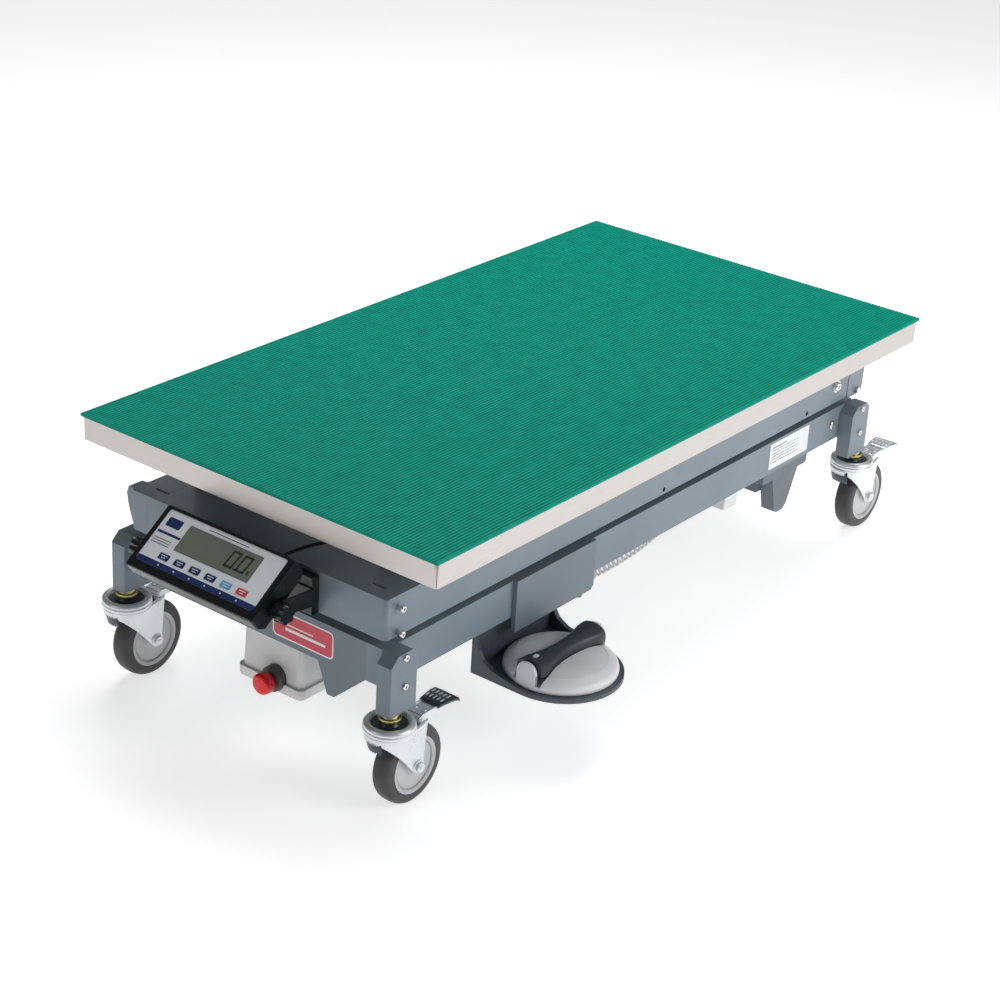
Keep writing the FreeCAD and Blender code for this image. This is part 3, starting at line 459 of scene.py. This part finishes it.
def add_piece(name, shape, material, body, spot, smooth=35.0):
    """Put a shape in place, in its material, riding on its body."""
    bm = bmesh.new()
    made = [bm.verts.new(spot @ (Vector(point) * MM)) for point in shape[0]]
    for face in shape[1]:
        bm.faces.new([made[index] for index in face])
    bmesh.ops.remove_doubles(bm, verts=bm.verts, dist=0.000002)
    bmesh.ops.dissolve_degenerate(bm, edges=bm.edges, dist=0.000001)
    bmesh.ops.recalc_face_normals(bm, faces=bm.faces)
    data = bpy.data.meshes.new(name)
    bm.to_mesh(data)
    bm.free()
    data.materials.append(materials[material])
    data.polygons.foreach_set("use_smooth", [True] * len(data.polygons))
    data.set_sharp_from_angle(angle=math.radians(smooth))
    piece = bpy.data.objects.new(name, data)
    bpy.context.scene.collection.objects.link(piece)
    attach(piece, body)
    return piece


def on_table(x, y, z):
    """The placing of a shape at millimetres from the middle of the table top, z from the floor."""
    return Matrix.Translation((table_middle.x + x * MM, table_middle.y + y * MM, z * MM))


# ---- ribbed mat ----
RIB_PITCH = 6.0
RIB_H = 1.6


def add_mat():
    """Ribs run the whole length of the mat, side by side across it."""
    low, high = [Vector(corner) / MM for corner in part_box("mat")]
    count = round((high.y - low.y) / RIB_PITCH)
    pitch = (high.y - low.y) / count
    crest = [(0.0, -RIB_H), (0.16, -RIB_H), (0.26, -0.25), (0.36, 0.0), (0.80, 0.0), (0.90, -0.25)]
    line = [(low.y, low.z)]
    for rib in range(count):
        line += [(low.y + pitch * (rib + share), high.z + drop) for share, drop in crest]
    line += [(high.y, high.z - RIB_H), (high.y, low.z)]
    outline = [Vector((0.0, y, z)) for y, z in line]
    near = [(low.x, point.y, point.z) for point in outline]
    far = [(high.x, point.y, point.z) for point in outline]
    piece = add_piece("ribbed_mat", tube_of([near, far]), "green_rubber", "platform", Matrix(),
                      25.0)
    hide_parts("mat")


# ---- castors ----
HEAD_R = 39.0
HEAD_PROFILE = [(13, 144.5), (26.5, 144.5), (28, 147.6), (30, 149.4), (32.5, 150), (35, 149.5),
                (37, 148), (38.3, 146), (38.7, 143.6), (38.2, 142.2), (37.2, 141.8), (38.4, 141.2),
                (39, 139.6), (38.6, 137.2), (37.2, 135), (35, 133), (13, 133)]
CHEEK_EDGES = {-1: [(-35, 6, 127), (-24, 17, 117), (-4, 20.5, 98), (14, 20.5, 79), (31, 20.5, 58)],
               1: [(-23, 24, 126), (-18, 21, 113), (-2, 20.5, 95), (16, 20.5, 78), (31, 20.5, 58)]}
RIM_STARTS = {-1: 171.0, 1: 132.0}    # degrees round the head, for the cheek on each side
RIM_END = 50.0
RIM_R = 36.5
RIM_Z = 135.0
AXLE_X = 42.0
AXLE_Z = 62.5
AXLE_LUG_R = 11.0
CHEEK_Y = 20.5
REAR_REACH = 34.5    # the cheek runs on this far behind the head
REAR_Y = 22.0
PEDAL_X = 50.0
PEDAL_Z = 133.0
PEDAL_TIP = 127.0


def between(points, share):
    """The point this share of the way through a list of corners."""
    place = share * (len(points) - 1)
    index = min(int(place), len(points) - 2)
    return Vector(points[index]).lerp(Vector(points[index + 1]), place - index)


def fork_side(side):
    """One pressed cheek: it wraps the head, narrows below it and ends round the axle."""
    rim, edge = [], []
    for step in range(17):
        share = step / 16
        angle = math.radians(RIM_STARTS[side] + (RIM_END - RIM_STARTS[side]) * share)
        rim.append(Vector((RIM_R * math.cos(angle), RIM_R * math.sin(angle), RIM_Z)))
        edge.append(between(CHEEK_EDGES[side], share))
    fold = rim[-1]
    for step in range(1, 11):
        share = step / 10
        angle = math.radians(-160 + 160 * share)
        out = fold.y + (REAR_Y - fold.y) * share ** 0.7
        rim.append(Vector((fold.x + REAR_REACH * share, out, RIM_Z + share)))
        edge.append(Vector((AXLE_X + AXLE_LUG_R * math.cos(angle), CHEEK_Y,
                            AXLE_Z + AXLE_LUG_R * math.sin(angle))))
    rows = []
    for level in range(9):
        down = level / 8
        inward = 1 - (1 - down) ** 2
        rows.append([(a.x + (b.x - a.x) * down,
                      side * (a.y + (b.y - a.y) * inward),
                      a.z + (b.z - a.z) * down) for a, b in zip(rim, edge)])
    return grid(rows)


def toothed_band(levels, start, end, steps):
    """A curved band between two angles; each level gives height, radius and depth of its teeth."""
    rows = []
    for height, radius, tooth in levels:
        row = []
        for step in range(steps + 1):
            angle = math.radians(start + (end - start) * step / steps)
            drop = tooth * (step % 4 > 1)
            row.append((radius * math.cos(angle), radius * math.sin(angle), height - drop))
        rows.append(row)
    return grid(rows)


def shroud():
    """The dark brake skirt under the head, with a toothed lower edge."""
    levels = ((131, 34, 0), (124, 34.5, 0), (115, 32, 0), (110, 30, 3.0))
    return toothed_band(levels, 122, 202, 36)


def toothed_skirt():
    """The bright edge that the head turns down round the front, with pressed teeth."""
    levels = ((136, 37, 0), (130, 36.8, 0), (127, 36, 3.0))
    return toothed_band(levels, RIM_STARTS[1] - 4, 364 - RIM_STARTS[-1], 60)


def nut(radius, thick):
    """A six-sided nut, slightly chamfered."""
    return lathe([(0, 0), (radius, 0), (radius, thick * 0.8), (radius * 0.86, thick), (0, thick)], 6)


def washer(radius, thick):
    """A flat round disc with a softened edge."""
    return lathe([(0, 0), (radius, 0), (radius, thick * 0.7), (radius * 0.93, thick), (0, thick)], 36)


def dome(radius, thick):
    """A rounded rivet head."""
    profile = [(0, 0), (radius, 0), (radius, thick * 0.4), (radius * 0.8, thick * 0.85), (0, thick)]
    return lathe(profile, 32)


def axle_ends():
    """Washer, nut and rivet on the outer face of both cheeks."""
    shapes = []
    for side in (-1, 1):
        flip = Matrix.Scale(side, 4, (0, 1, 0))
        face = CHEEK_Y + 1.2
        stack = [turned(washer(10.5, 1.4), along_y(AXLE_X, face, AXLE_Z)),
                 turned(nut(8.6, 4.6), along_y(AXLE_X, face + 1.4, AXLE_Z)),
                 turned(dome(6.2, 3.0), along_y(PEDAL_X + 1, face - 0.5, PEDAL_Z - 3)),
                 turned(dome(3.4, 8.0), along_y(AXLE_X, face, AXLE_Z))]
        shapes += [turned(shape, flip) for shape in stack]
    return joined(*shapes)


def tyre():
    """The rubber tread, about its own axis."""
    section = [(45, -16), (52, -16), (57, -15.2), (60, -13.2), (61.8, -9.5), (62.5, -5), (62.5, 5),
               (61.8, 9.5), (60, 13.2), (57, 15.2), (52, 16), (45, 16)]
    return lathe(section, 96)


def hub():
    """The wheel's two-faced disc, with a groove and a raised ring on both faces."""
    face = [(7, 17.2), (12.5, 17.2), (14, 15.5), (16, 13.6), (34, 12.6), (36.5, 13.2), (37.4, 11.8),
            (38.4, 11.8), (39.2, 14.6), (41, 15.9), (45, 16.2)]
    section = face + [(radius, -height) for radius, height in reversed(face)]
    return lathe(section, 96)


def tread():
    """The foot plate: waisted at the fork, wider at the tip, with a turned-down edge."""
    start, tip = PEDAL_X + 36, PEDAL_TIP
    rows = []
    for level in range(9):
        along = level / 8
        x = start + (tip - start) * along
        half = 17.5 + 6.0 * along
        lift = 9.0 + 1.2 * math.sin(math.pi * along) - 3.5 * max(along - 0.75, 0.0)
        row = [(x, half * share, PEDAL_Z + lift - drop)
               for share, drop in ((-1, 4), (-1, 0.8), (-0.94, 0), (-0.5, -0.3), (0, -0.4),
                                   (0.5, -0.3), (0.94, 0), (1, 0.8), (1, 4))]
        rows.append(row)
    rows.append([(x + 0.8, y, z - 3.0) for x, y, z in rows[-1]])
    return grid(rows)


def lever():
    """The barrel on the pin and the two webs that carry the foot plate."""
    shapes = [turned(washer(6.0, 32.0), along_y(PEDAL_X, -16.0, PEDAL_Z))]
    web = [(PEDAL_X - 3, -5), (PEDAL_X + 14, -3.5), (PEDAL_X + 52, 2.5), (PEDAL_X + 54, 8),
           (PEDAL_X + 12, 8), (PEDAL_X - 3, 5.5)]
    upright = Matrix.Rotation(math.radians(90), 4, "X")
    for y in (-12.5, 15.5):
        place = Matrix.Translation((0, y, PEDAL_Z)) @ upright
        shapes.append(turned(prism(web, 0.0, 3.0), place))
    step = rounded(PEDAL_X + 4, PEDAL_X + 46, -15, 15, 3)
    shapes.append(turned(prism(step, -3.0, 6.5), Matrix.Translation((0, 0, PEDAL_Z))))
    for y in (-8.0, 8.0):
        shapes.append(turned(dome(4.0, 2.6), Matrix.Translation((PEDAL_X + 16, y, PEDAL_Z + 6.3))))
    return joined(*shapes)


def highlit_tread_strips():
    """Plain raised strips that give the shoe some grip; their white is a painted highlight along each ridge."""
    strips = []
    for row in range(2):
        x0 = PEDAL_TIP - 30 + 13 * row
        strips += [(x0, x0 + 9, -14 + 7 * index, -11.5 + 7 * index) for index in range(5)]
    return bars(strips, PEDAL_Z + 9.2, PEDAL_Z + 10.6)


def thicken(piece, thick, offset=-1.0):
    """Give a surface its sheet thickness, in millimetres."""
    solid = piece.modifiers.new("thickness", "SOLIDIFY")
    solid.thickness = thick * MM
    solid.offset = offset


def add_fork(name, spot):
    """The swivel head, its two cheeks, the skirts under it and the ends of the axle."""
    swivel = name + "_swivel"
    head = add_piece(name + "_head", lathe(HEAD_PROFILE, 96), "zinc", swivel, spot, 28.0)
    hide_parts(name + "_fork")
    bearing = lathe([(0, 133), (27, 133), (27, 145.5), (16, 145.5), (12.6, 150), (0, 150)], 48)
    add_piece(name + "_bearing", bearing, "pedal_metal", swivel, spot)
    for side, side_name in ((-1, "_cheek_near"), (1, "_cheek_far")):
        cheek = add_piece(name + side_name, fork_side(side), "zinc", swivel, spot, 40.0)
        thicken(cheek, 2.4, 0.0)
    band = add_piece(name + "_toothed_skirt", toothed_skirt(), "zinc", swivel, spot, 50.0)
    thicken(band, 1.5)
    skirt = add_piece(name + "_shroud", shroud(), "pedal_metal", swivel, spot, 50.0)
    thicken(skirt, 2.0)
    add_piece(name + "_axle_ends", axle_ends(), "zinc", swivel, spot)


def add_wheel(name, spot):
    """Tyre and hub, turning about the axle."""
    wheel = name + "_wheel"
    axis = spot @ Matrix.Scale(MM, 4) @ along_y(AXLE_X, 0, AXLE_Z) @ Matrix.Scale(1 / MM, 4)
    rubber = add_piece(name + "_tread", tyre(), "wheel_tyre", wheel, axis)
    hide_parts(name + "_tyre")
    disc = add_piece(name + "_disc", hub(), "wheel_hub", wheel, axis)
    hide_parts(name + "_hub")


def add_brake(name, spot, finish):
    """The brake's foot plate with its lever and grip strips, the strips white as a painted highlight."""
    brake = name + "_brake"
    plate = add_piece(name + "_foot_plate", tread(), finish, brake, spot)
    thicken(plate, 1.8)
    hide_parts(name + "_pedal")
    arm = add_piece(name + "_lever", lever(), "zinc", brake, spot)
    add_bevel(arm, 0.6)
    # The grip strips are white as a painted highlight on their ridges; the strips themselves are raised.
    add_piece(name + "_highlit_grip_strips", highlit_tread_strips(), "white_print_and_highlight", brake, spot)


def add_castor(index):
    """One castor, placed by its CAD fork; only the first has a dark foot plate."""
    name = "castor_%d" % index
    low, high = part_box(name + "_fork")
    spot = Matrix.Translation((low[0] + HEAD_R * MM, (low[1] + high[1]) / 2, 0))
    add_fork(name, spot)
    add_wheel(name, spot)
    add_brake(name, spot, "pedal_metal" if index == 1 else "zinc")


# ---- weight indicator, in millimetres on its sloping face: u along it, v up it, w out of it ----
PANEL_SLOPE = -36.0
FACE_W = 25.0
GLASS_W = 26.1
KEYS_U = (-72.6, -41.7, -11.3, 19.3, 50.4, 81.3)
KEY_FINISHES = ("print_navy",) * 4 + ("print_blue", "print_red")


def panel_place():
    """u runs to the reader's right, v up the slope and w out of the face, from the tilt axis."""
    tilt = next(joint for joint in frame["joints"] if joint["name"] == "indicator_tilt")
    slope = Matrix.Rotation(math.radians(PANEL_SLOPE), 4, "Y")
    reader = Matrix(((0, 1, 0, 0), (-1, 0, 0, 0), (0, 0, 1, 0), (0, 0, 0, 1)))
    return Matrix.Translation(Vector(tilt["pos_m"])) @ slope @ reader


def digit_zero(u0, u1, v0, v1, thick):
    """The six lit segments of a nought."""
    middle = (v0 + v1) / 2
    gap = 0.5
    slant = 0.10
    strips = [(u0 + gap, u1 - gap, v0, v0 + thick), (u0 + gap, u1 - gap, v1 - thick, v1)]
    for low, high in ((v0 + gap, middle - gap), (middle + gap, v1 - gap)):
        strips += [(u0, u0 + thick, low, high), (u1 - thick, u1, low, high)]
    points, faces = bars(strips, GLASS_W, GLASS_W + 0.15)
    return [(u + slant * (v - middle), v, w) for u, v, w in points], faces


def add_panel_layer(name, shape, material):
    """One flat layer of the face, tilting with the indicator."""
    return add_piece(name, shape, material, "indicator", panel_place())


def bezel():
    """The black frame round the face, with a chamfer towards the window."""
    rim = rounded(-124, 124, -38, 70, 5)
    window = rounded(-116, 116, -25, 65, 4)
    count = len(rim)
    rings = [[(u, v, FACE_W - 0.5) for u, v in rim],
             [(u, v, FACE_W + 1.0) for u, v in rim],
             [(u * 0.975, v * 0.975 + 0.4, FACE_W + 1.6) for u, v in rim],
             [(u, v, FACE_W + 1.3) for u, v in window],
             [(u, v, FACE_W - 0.5) for u, v in window]]
    faces = []
    for ring in range(len(rings)):
        here, there = ring * count, (ring + 1) % len(rings) * count
        for index in range(count):
            after = (index + 1) % count
            faces.append((here + index, here + after, there + after, there + index))
    return [point for ring in rings for point in ring], faces


def add_display():
    """The membrane, its navy band, and the screen with a nought, a point and a nought."""
    membrane = prism(rounded(-116, 116, -25, 65, 4), FACE_W - 0.2, FACE_W + 0.4)
    add_panel_layer("indicator_membrane", membrane, "white_print_and_highlight")
    band = prism(rounded(-115.5, 115.5, -24.5, -15.5, 2), FACE_W, FACE_W + 0.55)
    add_panel_layer("indicator_band", band, "print_navy")
    edge = prism(rounded(-66.5, 78.5, 9.5, 54, 2), FACE_W, FACE_W + 0.7)
    add_panel_layer("indicator_screen_edge", edge, "print_grey")
    screen = prism(rounded(-65, 77, 11, 52.5, 1.5), FACE_W, FACE_W + 0.9)
    add_panel_layer("indicator_screen", screen, "screen_glass")
    point_and_unit = bars([(43.6, 46.4, 18.5, 21.3), (68.5, 71.5, 20, 26)], GLASS_W, GLASS_W + 0.15)
    digits = joined(digit_zero(25.5, 42, 18.5, 46.5, 3.2), digit_zero(48, 64.5, 18.5, 46.5, 3.2),
                    point_and_unit)
    add_panel_layer("indicator_digits", digits, "screen_ink")


def add_keys():
    """Six keys, each with two plain strokes and a small light below it."""
    for number, (u, finish) in enumerate(zip(KEYS_U, KEY_FINISHES), start=1):
        key = prism(rounded(u - 10, u + 10, -11, -0.5, 2.2), FACE_W, FACE_W + 1.0)
        piece = add_panel_layer("indicator_key_%d" % number, key, finish)
        add_bevel(piece, 0.5)
        strokes = [(u - 6, u + 6, -4.6, -3.4), (u - 4, u + 4, -8.2, -7.0)]
        marks = bars(strokes, FACE_W + 0.9, FACE_W + 1.12)
        add_panel_layer("indicator_key_mark_%d" % number, marks, "white_print_and_highlight")
    lights = bars([(u - 1.2, u + 1.2, -21.2, -18.8) for u in KEYS_U], FACE_W + 0.5, FACE_W + 0.7)
    add_panel_layer("indicator_lights", lights, "white_print_and_highlight")


def add_indicator():
    """Everything on the indicator's face; its casing is the CAD node."""
    add_panel_layer("indicator_bezel", bezel(), "black_plastic")
    add_display()
    add_keys()
    block = prism(rounded(-108, -80, 39, 54, 2.5), FACE_W, FACE_W + 0.5)
    emblem = joined(block, bars([(-113, -68, 26, 30), (-34, 45, 58.3, 59.5)], FACE_W, FACE_W + 0.5))
    add_panel_layer("indicator_plain_marks", emblem, "print_navy")
    lines = bars([(-112, -77, v, v + 1.3) for v in (9, 13, 17)], FACE_W, FACE_W + 0.5)
    add_panel_layer("indicator_fine_lines", lines, "print_grey")


# ---- labels, both unlettered; middles in millimetres on the table ----
FRONT_LABEL = (-641, -101, 225)
DATA_LABEL = (418, -254, 228.5)


def facing_front(x, y, z):
    """The placing of a flat label on a face that looks towards -x; its own x runs towards -y."""
    turn = Matrix(((0, 0, -1, 0), (-1, 0, 0, 0), (0, 1, 0, 0), (0, 0, 0, 1)))
    return on_table(x, y, z) @ turn


def facing_near(x, y, z):
    """The placing of a flat label on a face that looks towards -y."""
    turn = Matrix(((1, 0, 0, 0), (0, 0, -1, 0), (0, 1, 0, 0), (0, 0, 0, 1)))
    return on_table(x, y, z) @ turn


def add_front_label():
    """A red plate with a white border and two plain strokes, on the front cover."""
    place = facing_front(*FRONT_LABEL)
    border = prism(rounded(-59, 59, -22, 22, 8), -0.1, 0.35)
    add_piece("front_label_border", border, "white_print_and_highlight", "base", place)
    plate = prism(rounded(-56.5, 56.5, -19.5, 19.5, 6), 0.0, 0.6)
    add_piece("front_label", plate, "print_red", "base", place)
    strokes = bars([(-34, 44, -7, -2.5), (-34, 20, 2, 4)], 0.5, 0.8)
    add_piece("front_label_lines", strokes, "white_print_and_highlight", "base", place)


def add_data_label():
    """A white plate with a few fine lines, on the near rail."""
    place = facing_near(*DATA_LABEL)
    plate = prism(rounded(-62, 62, -24, 24, 3), -0.1, 0.4)
    add_piece("data_label", plate, "white_print_and_highlight", "base", place)
    lines = [(-54, -10, 14.4, 16.0)]
    lines += [(-54, 30 - 12 * (row % 2), 9 - 5.5 * row, 9.9 - 5.5 * row) for row in range(5)]
    add_piece("data_label_lines", bars(lines, 0.3, 0.55), "print_grey", "base", place)


# ---- stop button ----
FLUTES = 24
FLUTE_H = 0.55


def add_stop_button():
    """A mushroom head with fine flutes round its rim."""
    low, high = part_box("stop_button")
    spot = Matrix.Translation((low[0], (low[1] + high[1]) / 2, (low[2] + high[2]) / 2))
    spot = spot @ Matrix.Rotation(math.radians(90), 4, "Y")
    section = [(0, 0), (11.5, 0.3), (14, 1.2), (15.6, 3), (16.2, 6), (16.4, 15), (15, 17),
               (9, 17.4), (9, 29), (0, 29)]
    points, faces = lathe(section, 144)
    fluted = []
    for x, y, z in points:
        radius = math.hypot(x, y)
        on_rim = radius > 15 and 2 < z < 16
        swell = FLUTE_H * max(math.cos(FLUTES * math.atan2(y, x)), -0.2) if on_rim else 0.0
        grow = (radius + swell) / radius if radius else 1.0
        fluted.append((x * grow, y * grow, z))
    piece = add_piece("stop_mushroom", (fluted, faces), "stop_red", "stop_head", spot, 50.0)
    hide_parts("stop_button")


# ---- foot switch ----
BAR_HALF_L = 79.0
BAR_TOP = 170.0
CHEEK_R = 17.5
CHEEK_Z = 149.0
RIB_STEP = 1.45


def bar_half_width(x, spare=0.0):
    """Half the rocker's width at this distance from its middle."""
    return min(15.5 + 9.0 * (abs(x) / 66.0) ** 2, 24.0) + spare


def bar_outline(half_l, spare):
    """The rocker's outline from above, with some spare width."""
    steps = [half_l * (index / 12 - 1) for index in range(25)]
    right = [(x, -bar_half_width(x, spare)) for x in steps]
    return right + [(x, -y) for x, y in reversed(right)]


def rocker_bar():
    """A half-round bar, wide at the ends, waisted and slightly dipped in the middle."""
    sections = []
    for index in range(33):
        x = BAR_HALF_L * (index / 16 - 1)
        half = bar_half_width(x)
        top = BAR_TOP - 3.5 * (1 - (x / BAR_HALF_L) ** 2)
        floor = 137.0 + 9.0 * abs(x) / BAR_HALF_L
        ring = [(x, -half, floor)]
        for step in range(13):
            angle = math.pi * (1 - step / 12)
            height = floor + 6 + (top - floor - 6) * math.sin(angle) ** 0.75
            ring.append((x, half * math.cos(angle), height))
        sections.append(ring + [(x, half, floor)])
    return tube_of(sections)


def end_cheek(side):
    """An arched white cheek with fine ribs, thicker at its foot."""
    shapes = []
    for layer in range(26):
        z0 = 128.0 + RIB_STEP * layer
        half = math.sqrt(max(CHEEK_R ** 2 - max(z0 - CHEEK_Z, 0.0) ** 2, 4.0))
        rib = prism(rounded(-half, half, 0.0, 5.6, 0.8, 2), z0, z0 + 0.7 * RIB_STEP)
        shapes.append(turned(rib, Matrix.Rotation(math.radians(-90), 4, "Z")))
    angles = [math.pi * index / 24 for index in range(25)]
    arch = [(CHEEK_R * math.cos(angle), CHEEK_Z + CHEEK_R * math.sin(angle)) for angle in angles]
    core = prism([(CHEEK_R, 128.0)] + arch + [(-CHEEK_R, 128.0)], 0.4, 5.2)
    stand = Matrix(((0, 0, 1, 0), (1, 0, 0, 0), (0, 1, 0, 0), (0, 0, 0, 1)))
    shapes.append(turned(core, stand))
    shift = Matrix.Translation((82.0, 0, 0))
    mirror = Matrix.Scale(side, 4, (1, 0, 0))
    return joined(*[turned(turned(shape, shift), mirror) for shape in shapes])


def switch_place():
    """The placing of the foot switch's pieces, from the middle of its body."""
    low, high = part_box("foot_switch_body")
    return Matrix.Translation(((low[0] + high[0]) / 2, (low[1] + high[1]) / 2, 0))


def switch_dome():
    """The white puck, cut out along the middle for the rocker."""
    profile = [(0, 124.2), (87, 124.2), (88, 125.5), (88, 131), (86.5, 135), (82, 139.5), (74, 143.5),
               (70.6, 144.6), (70, 143.9), (69.4, 144.9), (60, 147), (45, 148.6), (24, 149), (0, 149)]
    puck = add_piece("foot_switch_puck", lathe(profile, 128), "switch_white", "base", switch_place(),
                     40.0)
    cutter = add_piece("cutter", prism(bar_outline(95.0, 1.4), 132.0, 170.0), "switch_white", "base",
                       switch_place())
    cut = puck.modifiers.new("channel", "BOOLEAN")
    cut.object = cutter
    cut.solver = "EXACT"
    seen = puck.evaluated_get(bpy.context.evaluated_depsgraph_get())
    shaped = bpy.data.meshes.new_from_object(seen)
    puck.modifiers.clear()
    puck.data = shaped
    bpy.data.objects.remove(cutter)
    add_bevel(puck, 1.2, 3)
    return puck


def add_foot_switch():
    """White puck and cheeks on the base, and the dark rocker bar on its own body."""
    puck = switch_dome()
    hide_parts("foot_switch_body")
    for side, name in ((-1, "foot_switch_cheek_front"), (1, "foot_switch_cheek_rear")):
        add_piece(name, end_cheek(side), "switch_white", "base", switch_place())
    bar = add_piece("foot_rocker", rocker_bar(), "switch_dark", "foot_bar", switch_place(),
                    45.0)
    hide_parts("foot_switch_bar")
    add_bevel(bar, 1.0, 3)
    mark = prism(rounded(-70, -60, -3, 3, 1), BAR_TOP - 2.6, BAR_TOP - 0.1)
    add_piece("foot_rocker_mark", mark, "white_print_and_highlight", "foot_bar", switch_place())


add_camera()
add_cords()
add_studio()
add_floor()
dress_cad_nodes()
add_mat()
for number in range(1, 5):
    add_castor(number)
add_indicator()
add_front_label()
add_data_label()
add_stop_button()
add_foot_switch()
